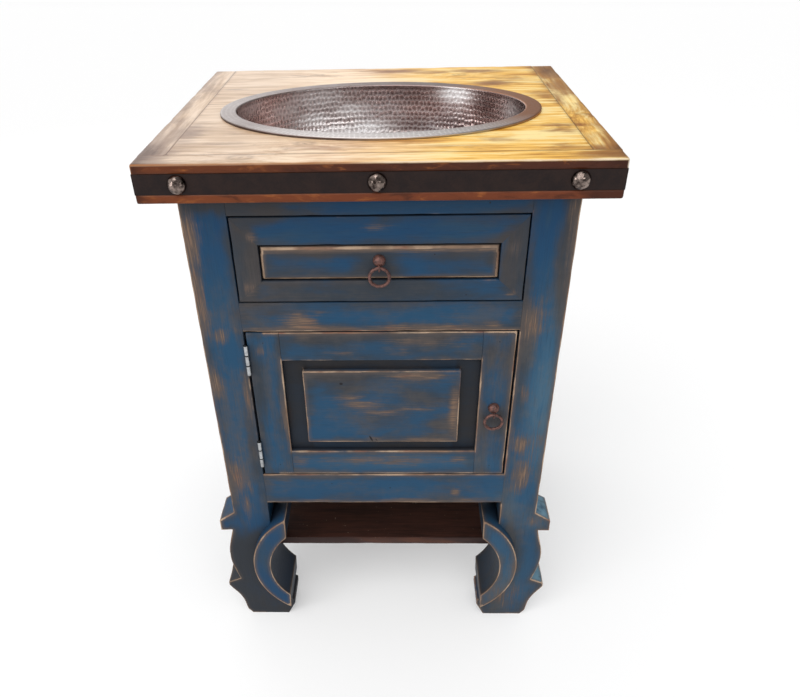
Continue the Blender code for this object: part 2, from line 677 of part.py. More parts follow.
def make_door():
    """The framed door with its raised panel, hinges, pull and the stop that it closes on."""
    low = door_low + DOOR_GAP
    high = door_high - DOOR_GAP
    left = -post_in + HINGE_GAP
    right = post_in - LATCH_GAP
    back = face_y + DOOR_THICK
    open_left = left + DOOR_STILE
    open_right = right - DOOR_STILE
    open_low = low + DOOR_RAIL
    open_high = high - DOOR_RAIL
    pieces = [
        box("door_hinge_stile", (left, face_y, low), (open_left - GAP, back, high), "blue_paint"),
        box("door_latch_stile", (open_right + GAP, face_y, low), (right, back, high), "blue_paint"),
        box("door_lower_rail", (open_left, face_y, low), (open_right, back, open_low - GAP), "blue_paint"),
        box("door_upper_rail", (open_left, face_y, open_high + GAP), (open_right, back, high), "blue_paint"),
    ]
    panel = box("door_panel", (open_left, face_y + FIELD_RISE, open_low),
                (open_right, face_y + DOOR_PANEL_BACK, open_high), "blue_paint")
    field = box("door_field", (open_left + FIELD_SIDE, face_y, open_low + FIELD_END),
                (open_right - FIELD_SIDE, face_y + FIELD_RISE + GAP, open_high - FIELD_END), None)
    combine(panel, field, "UNION")
    pieces.append(panel)
    pieces.append(make_hinge("lower_hinge", low + HINGE_INSET))
    pieces.append(make_hinge("upper_hinge", high - HINGE_INSET))

    rosette, ring, eye = make_pull("door", right - DOOR_STILE / 2, (low + high) / 2)
    hinge_axis = (-post_in + HINGE_GAP / 2, face_y - KNUCKLE_RADIUS - GAP, (low + high) / 2)
    swing = carrier("door_swing", hinge_axis, pieces + [rosette])
    carrier("door_ring_axis", eye, [ring], swing)

    stop_z = (low + high) / 2
    box("door_stop", (post_in - GAP - STOP_WIDTH, back + GAP, stop_z - STOP_HEIGHT / 2),
        (post_in - GAP, back + GAP + STOP_DEPTH, stop_z + STOP_HEIGHT / 2), "raw_wood")


for old in list(bpy.data.objects):
    bpy.data.objects.remove(old, do_unlink=True)
parts = collection("vanity_unit")
cutters = collection("cutters")
make_slab()
make_basin()
make_legs()
make_cabinet()
make_drawer()
make_door()
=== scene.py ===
"""Looks of a rustic vanity unit: distressed paint, stained pine, hammered copper and forged iron.

Metres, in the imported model's frame: +Z up, the front faces -Y.
"""
import json
import math
import random

import bmesh
import bpy
import numpy as np
from mathutils import Matrix, Vector, kdtree, noise
from mathutils.bvhtree import BVHTree


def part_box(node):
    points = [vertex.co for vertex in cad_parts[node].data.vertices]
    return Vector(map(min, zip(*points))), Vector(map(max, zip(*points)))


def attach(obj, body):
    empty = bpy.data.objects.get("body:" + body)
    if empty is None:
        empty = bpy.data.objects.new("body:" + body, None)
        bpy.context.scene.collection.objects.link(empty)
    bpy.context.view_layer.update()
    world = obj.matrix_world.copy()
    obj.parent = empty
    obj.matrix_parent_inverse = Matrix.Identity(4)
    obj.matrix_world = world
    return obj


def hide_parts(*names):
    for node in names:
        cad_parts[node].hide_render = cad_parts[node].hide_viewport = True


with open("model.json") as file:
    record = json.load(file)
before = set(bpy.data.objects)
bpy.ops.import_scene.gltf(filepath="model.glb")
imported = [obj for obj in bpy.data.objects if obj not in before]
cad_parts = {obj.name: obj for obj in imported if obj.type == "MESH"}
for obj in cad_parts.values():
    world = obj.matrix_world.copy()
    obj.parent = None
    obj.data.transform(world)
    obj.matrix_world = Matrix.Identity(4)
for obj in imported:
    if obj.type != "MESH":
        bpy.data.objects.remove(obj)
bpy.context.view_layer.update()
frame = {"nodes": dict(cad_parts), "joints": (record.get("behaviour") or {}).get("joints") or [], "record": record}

# The photograph's camera: image size and focal length in pixels, place in metres, turns in radians.
IMAGE = (800, 697)
FOCAL = 721.5
PRINCIPAL = (375.0, 387.2)
CAMERA_AT = (0.0234, -1.1834, 1.2110)
YAW = -0.0360
PITCH = 0.6088
ROLL = 0.0245
SENSOR = 36

# Light: an even sky, one broad sun from the front left, and soft boxes that shine in varnish and copper.
SKY_LIGHT = 0.66
DARK_SIDE = 0.36
SUN_FROM = (-0.4, -1.0, 1.5)
SUN_STRENGTH = 1.26
SUN_ANGLE = math.radians(50)
FLOOR = (0.66, 0.66, 0.66)
FLOOR_LIFT = 0.34
FLOOR_HALF = 30

# Distressed paint, linear colours.
BLUE_DEEP = (0.007, 0.046, 0.112)
BLUE_SOFT = (0.016, 0.051, 0.096)
BLUE_FADED = (0.015, 0.066, 0.134)
# Paler blue for painted highlights where the paint is lit.
BLUE_CHALK = (0.135, 0.265, 0.350)
GLAZE_GREY = (0.030, 0.036, 0.044)
GLAZE_BROWN = (0.048, 0.040, 0.036)
# Near black, for knots, cracks, nail holes and grain lines, and for painted shade.
SOOT = (0.012, 0.0115, 0.0135)
DUST = (0.080, 0.075, 0.075)
SCUFF = (0.106, 0.080, 0.067)
BARE_DARK = (0.105, 0.068, 0.053)
BARE_TAN = (0.26, 0.165, 0.108)
BARE_RED = (0.23, 0.110, 0.072)
BARE_PALE = (0.50, 0.355, 0.245)

# Stained pine of the top, as light, middle and dark wood: tan on the left, then peach, and gold on the right. The
# pale tan is partly painted sheen.
PINE_TAN = ((0.76, 0.58, 0.43), (0.60, 0.42, 0.275), (0.33, 0.195, 0.118))
PINE_PEACH = ((0.95, 0.74, 0.51), (0.79, 0.53, 0.31), (0.43, 0.205, 0.08))
PINE_GOLD = ((1.0, 0.78, 0.34), (0.94, 0.550, 0.105), (0.50, 0.192, 0.008))
PINE_SCORCH = (0.28, 0.098, 0.018)
PINE_SMOKE = (0.31, 0.205, 0.150)
PINE_BURN = (0.075, 0.024, 0.009)
PINE_EDGE = (0.062, 0.017, 0.008)
PINE_LOWER_EDGE = (0.145, 0.036, 0.013)
PINE_EDGE_DARK = (0.030, 0.008, 0.004)
PINE_EDGE_RUDDY = (0.165, 0.043, 0.012)
PINE_EDGE_LIGHT = (0.37, 0.118, 0.028)
# Front arris line: orange wear on the left, cream painted highlight on the right.
ARRIS_ORANGE = (0.36, 0.14, 0.045)
ARRIS_CREAM = (0.80, 0.66, 0.50)

# Other woods.
RAW_LIGHT = (0.46, 0.31, 0.17)
RAW_DARK = (0.26, 0.15, 0.07)
SHELF_LIGHT = (0.052, 0.020, 0.014)
SHELF_DARK = (0.014, 0.006, 0.005)
SHELF_EDGE = (0.024, 0.009, 0.007)
SHELF_WORN = (0.072, 0.024, 0.012)
SHELF_SPECK = (0.22, 0.17, 0.14)

# Metals.
STRAP_BROWN = (0.022, 0.012, 0.010)
STRAP_BLACK = (0.013, 0.008, 0.008)
BRONZE = (0.30, 0.235, 0.205)
BRONZE_DARK = (0.022, 0.015, 0.013)
COPPER_GREY = (0.55, 0.495, 0.50)
COPPER_RED = (0.43, 0.290, 0.262)
# Silver of the painted reflections on the bowl.
COPPER_SILVER = (0.96, 0.96, 0.96)
# Ridges between the hammer marks: burnish and painted highlight.
COPPER_RIDGE = (0.90, 0.87, 0.86)
# Darker copper in the dents, also the colour of painted shade on the copper.
COPPER_DENT = (0.092, 0.060, 0.056)
RIM_LIGHT = (0.262, 0.214, 0.205)
RIM_DARK = (0.202, 0.148, 0.135)
RIM_RED = (0.385, 0.168, 0.080)
# Silver of the painted reflection on the rim's front and left.
RIM_SILVER = (0.58, 0.54, 0.525)
DRAIN_BRONZE = (0.10, 0.062, 0.045)
RUST_RED = (0.200, 0.088, 0.070)
RUST_DARK = (0.050, 0.028, 0.026)
STEEL = (0.50, 0.51, 0.52)
STEEL_DARK = (0.32, 0.33, 0.34)
SEAM = (0.03, 0.03, 0.03)

# Woodwork: rounding of the arrises, cells of the surface, unevenness.
WELD = 0.000002
SHARP = math.radians(30)
FLAT = math.radians(0.5)
JOINT = 0.0007
JOINT_STEP = 0.012
GLUE = 0.00013
PAINT_ROUND = 0.0012
SLAB_ROUND = 0.0030
INNER_ROUND = 0.0008
STRAP_ROUND = 0.0006
LEAF_ROUND = 0.0003
DRAIN_ROUND = 0.0006
CELL = 0.008
FINE_CELL = 0.005
COARSE_CELL = 0.040
PANEL_CELL = 0.012
PAD_CELL = 0.0025
LEAF_CELL = 0.003
STRAP_CELL = 0.010
WAVE_DEPTH = 0.00025
WAVE_SCALE = 16
CHIP_DEPTH = 0.0011
CHIP_SCALE = 34
CHIP_REACH = 0.007

# Basin: rim width, lip, depth, wall and bowl profile as in the solid, and the hammer marks.
RIM = 0.025
LIP = 0.004
BASIN_WALL = 0.002
BOWL_DEPTH = 0.127
FULLNESS = 0.62
DRAIN_FOOT = 0.0335
DRAIN_SEAT = 0.0295
DRAIN_HOLE = 0.0203
DRAIN_SINK = 0.003
MARK_WIDE = 0.0062
MARK_HIGH = 0.0086
MARK_DEPTH = 0.00055
RIM_MARK_DEPTH = 0.00003
RIM_MARKS = (0.006, 0.0125, 0.019)
RIM_ROWS = 12
BED_GAP = 0.0003
# Painted shadow under the rim's outer lip, strongest on the left.
LIP_SHADE = 0.85
LIP_BRIGHT = 0.03
LIP_FADE = 0.08
LIP_ROWS = 7
BASIN_COLUMNS = 880
BASIN_ROWS = 170

# Small forged pieces: counts of their facets, the rosettes' rise and the free radius in their eyes.
NAIL_ROWS = 18
NAIL_COLUMNS = 48
NAIL_FACETS = 24
NAIL_SHARP = math.radians(14)
RING_STEPS = 72
RING_SIDES = 16
DOME_ROWS = 12
DOME_COLUMNS = 48
DOME_RISE = 0.0095
EYE_BORE = 0.0030

# Marks of age and painted light: painted shade in gaps and on scrolls, antiquing and painted shade in sunk
# borders, painted highlight on pale ledges, wear of the legs, and the drawer's panel with painted shadow round it.
FACING = -0.3
# Painted shade on the sides of front pieces, inside the gaps between them.
GAP_START = 0.002
GAP_FADE = 0.004
GAP_SOOT = 0.85
# Antiquing and painted shade in the door panel's sunk border.
SUNK_START = 0.006
SUNK_SIDE = 0.115
SUNK_SOOT_SIDE = 0.87
SUNK_SOOT = 0.72
# Painted shade and painted shadow on the scrolls.
SCROLL_START = 0.006
SCROLL_FADE = 0.030
SCROLL_SOOT = 0.75
SCROLL_BEHIND = 0.7
LEDGE_FROM = 0.7
LEDGE_FADE = 0.4
DRAWER_LEVEL = 0.70
OUTER_SIDE = 0.2405
# The gap round the drawer's panel with its painted shadow, and the bright line on its chamfers.
PAD_GAP = 0.0020
PAD_LINE = 0.0034
PAD_DROP = 0.0016
PAD_UPPER = 0.014
PAD_FADE = 0.001
PAD_SOOT = 0.9

# The tone about which the pine's streaks vary.
MEAN_TONE = 0.49

# Numbers stored on the meshes that the groups of nodes read.
PAINT_FIELDS = ("edge", "rim", "rub", "glaze", "dust", "soot", "wear", "chalk")
PINE_FIELDS = ("tan", "gold", "burn", "knot", "bend")

MM = 0.001
UP = Vector((0, 0, 1))
scene = bpy.context.scene
BODY = {node: body for body, nodes in frame["record"]["behaviour"]["bodies"].items() for node in nodes}


class Graph:
    """Short calls that add shader nodes to a tree."""

    def __init__(self, tree):
        self.tree = tree

    def node(self, kind, inputs=None, **settings):
        """A node with some settings, and with values or links on some inputs."""
        made = self.tree.nodes.new(kind)
        for name, value in settings.items():
            setattr(made, name, value)
        for name, value in (inputs or {}).items():
            self.feed(made.inputs[name], value)
        return made

    def feed(self, socket, value):
        """Links a socket to another, or sets its value."""
        if isinstance(value, bpy.types.NodeSocket):
            self.tree.links.new(value, socket)
        else:
            socket.default_value = value

    def math(self, operation, *values):
        """A sum, product or other operation on numbers."""
        return self.node("ShaderNodeMath", dict(enumerate(values)), operation=operation).outputs[0]

    def times(self, one, other):
        """A product."""
        return self.math("MULTIPLY", one, other)

    def total(self, *terms):
        """A sum of numbers, each with its weight."""
        result = 0.0
        for value, weight in terms:
            result = self.math("MULTIPLY_ADD", value, weight, result)
        return result

    def ramp(self, value, low, high):
        """Rises softly from 0 at low to 1 at high; high may be below low."""
        inputs = {"Value": value, "From Min": low, "From Max": high}
        return self.node("ShaderNodeMapRange", inputs, interpolation_type="SMOOTHSTEP").outputs["Result"]

    def mix(self, factor, one, other):
        """A colour between two."""
        inputs = {0: factor, 6: self.colour(one), 7: self.colour(other)}
        return self.node("ShaderNodeMix", inputs, data_type="RGBA").outputs[2]

    def over(self, under, colour, amount, share):
        """A colour laid over another by an amount times a share."""
        return self.mix(self.times(amount, share), under, colour)

    def colour(self, value):
        """A socket as it is, or three numbers as a colour."""
        return value if isinstance(value, bpy.types.NodeSocket) else (*value, 1)

    def vector(self, operation, one, other):
        """A sum or product of two vectors."""
        return self.node("ShaderNodeVectorMath", {0: one, 1: other}, operation=operation).outputs[0]

    def noise(self, vector, scale, detail=3.0, roughness=0.55, distortion=0.0):
        """Soft noise with so many cells a metre."""
        inputs = {"Vector": vector, "Scale": scale, "Detail": detail, "Roughness": roughness,
                  "Distortion": distortion}
        return self.node("ShaderNodeTexNoise", inputs).outputs["Fac"]

    def drawn(self, along, share, *settings):
        """Noise drawn out along the grain."""
        return self.noise(self.vector("MULTIPLY", along, (1, 1, share)), *settings)

    def stored(self, *names):
        """Numbers stored on the mesh, by their names."""
        return {name: self.node("ShaderNodeAttribute", attribute_name=name).outputs["Fac"] for name in names}

    def place(self):
        """Place on the piece."""
        return self.node("ShaderNodeTexCoord").outputs["Object"]

    def grain_vector(self, grain, seed):
        """Place on the piece, shifted by a seed, with the third part along the grain."""
        shifted = self.vector("ADD", self.place(), seed)
        if grain == "Z":
            return shifted
        parts = self.node("ShaderNodeSeparateXYZ", {0: shifted}).outputs
        order = {"X": "ZYX", "Y": "XZY"}[grain]
        return self.node("ShaderNodeCombineXYZ", dict(zip("XYZ", (parts[name] for name in order)))).outputs[0]


def group(name, numbers, colours=()):
    """A new group with a place, numbers and colours to go in. Returns its graph and their sockets."""
    tree = bpy.data.node_groups.new(name, "ShaderNodeTree")
    inward = (("INPUT", "Vector", ("place",)), ("INPUT", "Float", numbers), ("INPUT", "Color", colours))
    outward = (("OUTPUT", "Color", ("Color",)), ("OUTPUT", "Float", ("Roughness", "Height")))
    for way, kind, labels in inward + outward:
        for label in labels:
            tree.interface.new_socket(label, in_out=way, socket_type="NodeSocket" + kind)
    sockets = tree.nodes.new("NodeGroupInput").outputs
    return Graph(tree), [sockets[label] for label in ("place", *numbers, *colours)]


def closed(g, colour, roughness, height):
    """Feeds what comes out of a group, and returns the group."""
    g.node("NodeGroupOutput", {"Color": colour, "Roughness": roughness, "Height": height})
    return g.tree


def paint_group():
    """Blue paint: dark glazing towards the edges, scuffs down to the wood, bare lines along the arrises, painted
    highlights and painted shade.
    """
    g, (along, edge, rim, rub, glaze, dust, soot, wear, chalk) = group("distressed_paint", PAINT_FIELDS)
    hair = g.drawn(along, 0.025, 1300, 2)
    fibre = g.drawn(along, 0.05, 480, 3, 0.6)
    band = g.drawn(along, 0.10, 75, 4, 0.6)
    cloud = g.drawn(along, 0.45, 10, 4, 0.6)
    patch = g.drawn(along, 0.40, 21, 5, 0.62, 0.4)
    spots = g.noise(along, 46, 4, 0.65)
    grain = g.ramp(g.total((fibre, 0.6), (hair, 0.4)), 0.36, 0.64)
    torn = g.total((grain, 0.40), (spots, 0.60))

    coat = g.mix(g.ramp(g.total((band, 0.35), (cloud, 0.65)), 0.44, 0.62), BLUE_DEEP, BLUE_SOFT)
    coat = g.over(coat, BLUE_FADED, dust, 0.85)
    film = g.total((patch, 0.95), (band, 0.16), (g.ramp(rim, 0.026, 0.002), 0.24), (glaze, 0.44))
    smoke = g.mix(g.ramp(cloud, 0.42, 0.60), GLAZE_GREY, GLAZE_BROWN)
    coat = g.over(coat, smoke, g.ramp(film, 0.56, 1.02), 0.92)
    dusty = g.total((patch, 0.34), (cloud, 0.22), (band, 0.14), (spots, 0.20), (fibre, 0.10))
    coat = g.over(coat, DUST, g.times(g.ramp(dusty, 0.46, 0.60), dust), 0.52)
    # Painted highlight: paler blue where the paint is lit.
    coat = g.over(coat, BLUE_CHALK, chalk, g.ramp(g.total((cloud, 0.6), (band, 0.4)), 0.26, 0.52))

    through = g.total((rub, 0.62), (cloud, 0.40), (torn, 0.45))
    scuffed = g.ramp(through, 0.48, 0.86)
    coat = g.over(coat, SCUFF, scuffed, 0.88)
    bare = g.ramp(g.total((through, 1.0), (grain, 0.30)), 0.90, 1.26)
    tan = g.mix(g.ramp(g.noise(along, 19, 2), 0.50, 0.66), BARE_TAN, BARE_RED)
    coat = g.over(coat, g.mix(grain, BARE_DARK, tan), bare, 0.80)

    present = g.total((g.noise(along, 9, 3), 0.7), (g.noise(along, 42, 3), 0.5), (wear, 0.5))
    present = g.ramp(present, 0.74, 1.08)
    ragged = g.total((edge, 1.0), (torn, 0.0022), (1.0, -0.0011))
    coat = g.over(coat, SCUFF, g.times(g.ramp(ragged, 0.0090, 0.0010), present), 0.60)
    width = g.total((g.noise(along, 34, 3), 0.0026), (1.0, 0.0008))
    line = g.times(g.ramp(g.math("DIVIDE", ragged, width), 1.15, 0.50), present)
    pale = g.mix(g.ramp(g.noise(along, 16, 3), 0.42, 0.62), tan, BARE_PALE)
    coat = g.over(coat, pale, line, 0.92)
    coat = g.over(coat, SOOT, g.ramp(hair, 0.52, 0.74), 0.24)
    roughness = g.total((fibre, 0.18), (scuffed, 0.12), (1.0, 0.40))
    height = g.total((fibre, 0.7), (hair, 0.3), (bare, -0.5), (line, -0.5))
    # The last layer is painted shade in gaps, recesses and on the scrolls, with antiquing in sunk borders and
    # darker paint low on the legs.
    return closed(g, g.mix(soot, coat, SOOT), roughness, height)


def pine_layers(g, along):
    """Four noises of pine, fine to broad: fibres, streaks, bands and flames along the grain."""
    return (g.drawn(along, 0.03, 900, 2), g.drawn(along, 0.08, 125, 4, 0.6),
            g.drawn(along, 0.18, 26, 4, 0.6, 0.8), g.drawn(along, 0.35, 14, 3, 0.6, 1.0))


def varnish_group():
    """Stained and varnished pine with streaks, smoky burns and rings round the knots."""
    g, (place, tan, gold, burn, knot, bend) = group("stained_pine", PINE_FIELDS)
    along = g.vector("ADD", place, g.node("ShaderNodeCombineXYZ", {"X": bend, "Y": bend}).outputs[0])
    fibre, streak, broad, flame = pine_layers(g, along)
    light, middle, dark = (g.mix(gold, g.mix(tan, peach_wood, tan_wood), gold_wood)
                           for tan_wood, peach_wood, gold_wood in zip(PINE_TAN, PINE_PEACH, PINE_GOLD))
    tone = g.total((streak, 0.34), (broad, 0.30), (flame, 0.22), (fibre, 0.14))
    # Less contrast on the tan side, where the pale colour is partly painted sheen.
    calm = g.total((tan, -0.35), (1.0, 1.0))
    tone = g.total((g.math("SUBTRACT", tone, MEAN_TONE), calm), (1.0, MEAN_TONE))
    shown = g.mix(g.ramp(tone, 0.44, 0.53), light, middle)
    shown = g.over(shown, dark, g.ramp(tone, 0.51, 0.61), 0.85)
    blotch = g.drawn(along, 0.45, 36, 5, 0.66, 0.5)
    burnt = g.total((burn, 1.0), (streak, 0.5), (flame, 0.5), (blotch, 0.9), (1.0, -0.95))
    shown = g.over(shown, g.mix(tan, PINE_SCORCH, PINE_SMOKE), g.ramp(burnt, 0.05, 0.60), 0.85)
    shown = g.over(shown, PINE_BURN, g.ramp(burnt, 0.50, 1.15), 0.85)
    shown = g.over(shown, dark, g.ramp(g.drawn(along, 0.035, 240, 3, 0.6), 0.53, 0.70), 0.34)
    checks = g.ramp(g.drawn(along, 0.09, 300, 2), 0.70, 0.77)
    shown = g.over(shown, PINE_BURN, g.math("MAXIMUM", knot, checks), 0.8)
    return closed(g, shown, g.total((streak, 0.22), (1.0, 0.24)), g.math("ADD", fibre, streak))


def wood_group():
    """Unpainted wood between two colours."""
    g, (along, rough, light, dark) = group("plain_wood", ("rough",), ("light", "dark"))
    fibre, streak, broad, flame = pine_layers(g, along)
    tone = g.total((fibre, 0.25), (streak, 0.30), (broad, 0.30), (flame, 0.15))
    shown = g.mix(g.ramp(tone, 0.40, 0.62), light, dark)
    return closed(g, shown, g.total((streak, 0.22), (rough, 1.0)), g.math("ADD", fibre, streak))


def metal_group():
    """Metal between two colours, with tarnish, roughness and fine dents."""
    g, (place, scale, rough, light, dark) = group("old_metal", ("scale", "rough"), ("light", "dark"))
    cloud = g.noise(place, scale, 5, 0.62, 0.3)
    grit = g.noise(place, g.times(scale, 9), 3, 0.6)
    shown = g.mix(g.ramp(g.total((cloud, 0.7), (grit, 0.3)), 0.36, 0.64), dark, light)
    return closed(g, shown, g.total((rough, 1.0), (grit, 0.35), (1.0, -0.175)), g.math("ADD", cloud, grit))


def new_material(name):
    """A material with its graph and its shader."""
    made = bpy.data.materials.new(name)
    made.use_nodes = True
    return made, Graph(made.node_tree), made.node_tree.nodes["Principled BSDF"]


def surface(g, shader, layers, bump, distance, **constants):
    """Drives a shader by a group's outputs, and sets what is the same all over."""
    g.feed(shader.inputs["Base Color"], layers["Color"])
    g.feed(shader.inputs["Roughness"], layers["Roughness"])
    dents = g.node("ShaderNodeBump", {"Height": layers["Height"], "Strength": bump, "Distance": distance})
    g.feed(shader.inputs["Normal"], dents.outputs["Normal"])
    for name, value in constants.items():
        shader.inputs[name.replace("_", " ")].default_value = value


def seed_of(name):
    """A shift of the texture that belongs to a name."""
    draw = random.Random(name)
    return tuple(draw.uniform(-5, 5) for _ in range(3))


def layered(g, tree, **inputs):
    """A group's outputs, with values or links on its inputs."""
    made = g.node("ShaderNodeGroup", node_tree=tree)
    for name, value in inputs.items():
        g.feed(made.inputs[name], g.colour(value) if isinstance(value, tuple) else value)
    return dict(made.outputs.items())


def painted(node, grain):
    """Distressed paint on one piece, with its cracks, knots and nail holes."""
    made, g, shader = new_material(node + "_paint")
    layers = layered(g, PAINT, place=g.grain_vector(grain, seed_of(node)), **g.stored(*PAINT_FIELDS))
    place = g.place()
    for x, z, half_wide, half_high, turn in FLAWS.get(node, ()):
        inputs = {"Vector": place, "Location": (x, 0, z), "Rotation": (0, turn, 0),
                  "Scale": (half_wide, FLAW_DEPTH, half_high)}
        apart = g.node("ShaderNodeMapping", inputs, vector_type="TEXTURE").outputs[0]
        reach = g.node("ShaderNodeVectorMath", {0: apart}, operation="LENGTH").outputs["Value"]
        layers["Color"] = g.mix(g.ramp(reach, 1.0, 0.5), layers["Color"], SOOT)
    surface(g, shader, layers, 0.35, 0.0005, Specular_IOR_Level=0.2)
    return made


def stained(node, grain):
    """Varnished pine of the top, dark on its side faces (darker stain and painted shade) and seams, with a front
    arris line of wear and painted highlight.
    """
    made, g, shader = new_material(node + "_varnish")
    wood_fields = g.stored(*PINE_FIELDS)
    layers = layered(g, VARNISH, place=g.grain_vector(grain, seed_of(node)), **wood_fields)
    on_side, low, char, arris, edge, rim = g.stored("side", "low", "char", "arris", "edge", "rim").values()
    mottle = g.noise(g.vector("MULTIPLY", g.place(), (0.30, 0.30, 1)), 62, 4, 0.66, 0.5)
    # Side faces take the edge colours: a darker stain and painted shade.
    side = g.mix(low, PINE_EDGE, PINE_LOWER_EDGE)
    side = g.over(side, PINE_EDGE_RUDDY, wood_fields["tan"], 0.55)
    side = g.over(side, PINE_EDGE_DARK, g.ramp(mottle, 0.48, 0.30), 0.60)
    side = g.over(side, PINE_EDGE_LIGHT, g.ramp(mottle, 0.52, 0.72), 0.70)
    side = g.over(side, PINE_EDGE_DARK, char, 0.75)
    shown = g.mix(on_side, layers["Color"], side)
    ragged = g.total((edge, 1.0), (mottle, 0.003), (1.0, -0.0015))
    # The front arris line: wear, and a painted highlight on the right.
    line = g.mix(g.ramp(wood_fields["gold"], 0.05, 0.5), ARRIS_ORANGE, ARRIS_CREAM)
    shown = g.over(shown, line, g.times(g.ramp(ragged, 0.0030, 0.0010), arris), 0.85)
    seam = g.times(g.ramp(rim, 0.0011, 0.0003), g.ramp(edge, 0.002, 0.005))
    layers["Color"] = g.over(shown, PINE_BURN, seam, 0.60)
    surface(g, shader, layers, 0.10, 0.0003, Specular_IOR_Level=0.18)
    return made


def plain_wood(node, grain, light, dark, rough, worn_edge=False):
    """Unpainted wood, which can have a paler front edge and a few pale specks."""
    made, g, shader = new_material(node + "_wood")
    layers = layered(g, WOOD, place=g.grain_vector(grain, seed_of(node)), light=light, dark=dark, rough=rough)
    if worn_edge:
        place = g.place()
        edge = g.ramp(g.noise(g.vector("MULTIPLY", place, (0.3, 1, 1)), 70, 4, 0.6), 0.30, 0.60)
        worn = g.ramp(g.noise(g.vector("MULTIPLY", place, (0.25, 1, 1)), 24, 3), 0.44, 0.60)
        on_edge = g.stored("edge_face")["edge_face"]
        shown = g.over(layers["Color"], g.mix(worn, SHELF_EDGE, SHELF_WORN), edge, on_edge)
        layers["Color"] = g.over(shown, SHELF_SPECK, g.ramp(g.noise(place, 210, 1), 0.74, 0.79), 0.6)
    surface(g, shader, layers, 0.25, 0.0003, Specular_IOR_Level=0.25)
    return made


def metal(name, light, dark, scale, rough, bump, seams=False, **constants):
    """Old metal, which can be dark in the seams between knuckles."""
    made, g, shader = new_material(name)
    layers = layered(g, METAL, place=g.place(), light=light, dark=dark, scale=scale, rough=rough)
    if seams:
        layers["Color"] = g.mix(g.ramp(g.stored("edge")["edge"], 0.0014, 0.0006), layers["Color"], SEAM)
    surface(g, shader, layers, bump, 0.0004, **constants)
    return made


def hammered_copper():
    """Copper, redder at the bowl's two ends, with painted reflections in places and on the rim, ridges between the
    marks that are burnished and painted as highlights, and painted shade.
    """
    made, g, shader = new_material("hammered_copper")
    ends, polish, on_rim, ridge, shade = g.stored("ends", "polish", "rim", "ridge", "shade").values()
    bowl = layered(g, METAL, place=g.place(), light=COPPER_GREY, dark=COPPER_RED, scale=14.0, rough=0.20)
    rim = layered(g, METAL, place=g.place(), light=RIM_LIGHT, dark=RIM_DARK, scale=22.0, rough=0.40)
    # Painted reflections: silver where the sheen is painted, on the rear wall and on the rim.
    inner = g.mix(polish, g.mix(ends, bowl["Color"], COPPER_RED), COPPER_SILVER)
    dented = g.total((polish, -0.36), (ends, -0.15), (1.0, 0.56))
    inner = g.over(inner, COPPER_DENT, g.ramp(ridge, 0.85, 0.30), dented)
    # Bright ridges between the marks: burnish and painted highlight, less at the ends.
    raised = g.total((ends, -0.35), (1.0, 0.62))
    inner = g.over(inner, COPPER_RIDGE, g.ramp(ridge, 0.72, 0.98), raised)
    outer = g.mix(polish, g.mix(ends, rim["Color"], RIM_RED), RIM_SILVER)
    outer = g.over(outer, COPPER_RIDGE, g.ramp(ridge, 0.70, 0.98), g.times(polish, 0.6))
    # Painted shade: the rim's outer lip, and dark places on the rear wall.
    bowl["Color"] = g.mix(shade, g.mix(on_rim, inner, outer), COPPER_DENT)
    soft = g.total((bowl["Roughness"], 1.0), (polish, 0.22))
    bowl["Roughness"] = g.total((soft, g.math("SUBTRACT", 1.0, on_rim)), (rim["Roughness"], on_rim))
    surface(g, shader, bowl, 0.06, 0.0003, Metallic=1.0)
    return made


def added(name, data):
    """A new object in the scene."""
    made = bpy.data.objects.new(name, data)
    scene.collection.objects.link(made)
    return made


def stand_in(node, mesh, material):
    """A piece that takes a CAD node's place and body."""
    piece = added(node + "_finish", mesh)
    mesh.materials.append(material)
    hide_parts(node)
    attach(piece, BODY[node])


def points_of(mesh, field="co"):
    """A mesh's vertices, or their normals, as rows of numbers."""
    flat = np.zeros(len(mesh.vertices) * 3)
    mesh.vertices.foreach_get(field, flat)
    return flat.reshape(-1, 3)


def store(mesh, **fields):
    """Keeps numbers for each vertex where a material can read them."""
    for name, values in fields.items():
        layer = mesh.attributes.new(name, "FLOAT", "POINT")
        layer.data.foreach_set("value", np.full(len(mesh.vertices), values, np.float32))


def field_of(points, scale, seed):
    """Smooth noise from -1 to 1 at each point."""
    shift = Vector(seed_of(seed))
    return np.array([noise.noise(Vector(p) * scale + shift) for p in points])


def solid_copy(node):
    """A CAD solid with its flat faces whole again."""
    form = bmesh.new()
    form.from_mesh(frame["nodes"][node].data)
    bmesh.ops.remove_doubles(form, verts=form.verts, dist=WELD)
    bmesh.ops.dissolve_limit(form, angle_limit=FLAT, verts=form.verts, edges=form.edges)
    return form


def arrises_of(form):
    """The sharp outward edges of a solid."""
    return [e for e in form.edges if e.is_manifold and e.calc_face_angle_signed() > SHARP]


def soften(form, edges, width):
    """Rounds some edges of a solid."""
    bmesh.ops.bevel(form, geom=edges, offset=width, offset_type="OFFSET", segments=2, profile=0.5,
                    affect="EDGES", clamp_overlap=True)


def mesh_of(form, node):
    """A form as the mesh of a piece."""
    mesh = bpy.data.meshes.new(node + "_finish")
    form.to_mesh(mesh)
    form.free()
    return mesh


def smooth(mesh, angle=SHARP):
    """Smooth shading, but for sharp edges."""
    mesh.shade_smooth()
    mesh.set_sharp_from_angle(angle=angle)


def faces_of(mesh):
    """A mesh's faces, in a tree that finds the nearest."""
    return BVHTree.FromPolygons([v.co for v in mesh.vertices], [p.vertices[:] for p in mesh.polygons])


def neighbours(node):
    """The surfaces of the other pieces on the same body."""
    return [SURFACES[n] for n in frame["nodes"] if n != node and BODY[n] == BODY[node]]


def touches(place, near):
    """Whether a place lies in a glued joint with one of some surfaces."""
    return any(tree.find_nearest(place, JOINT)[0] is not None for tree in near)


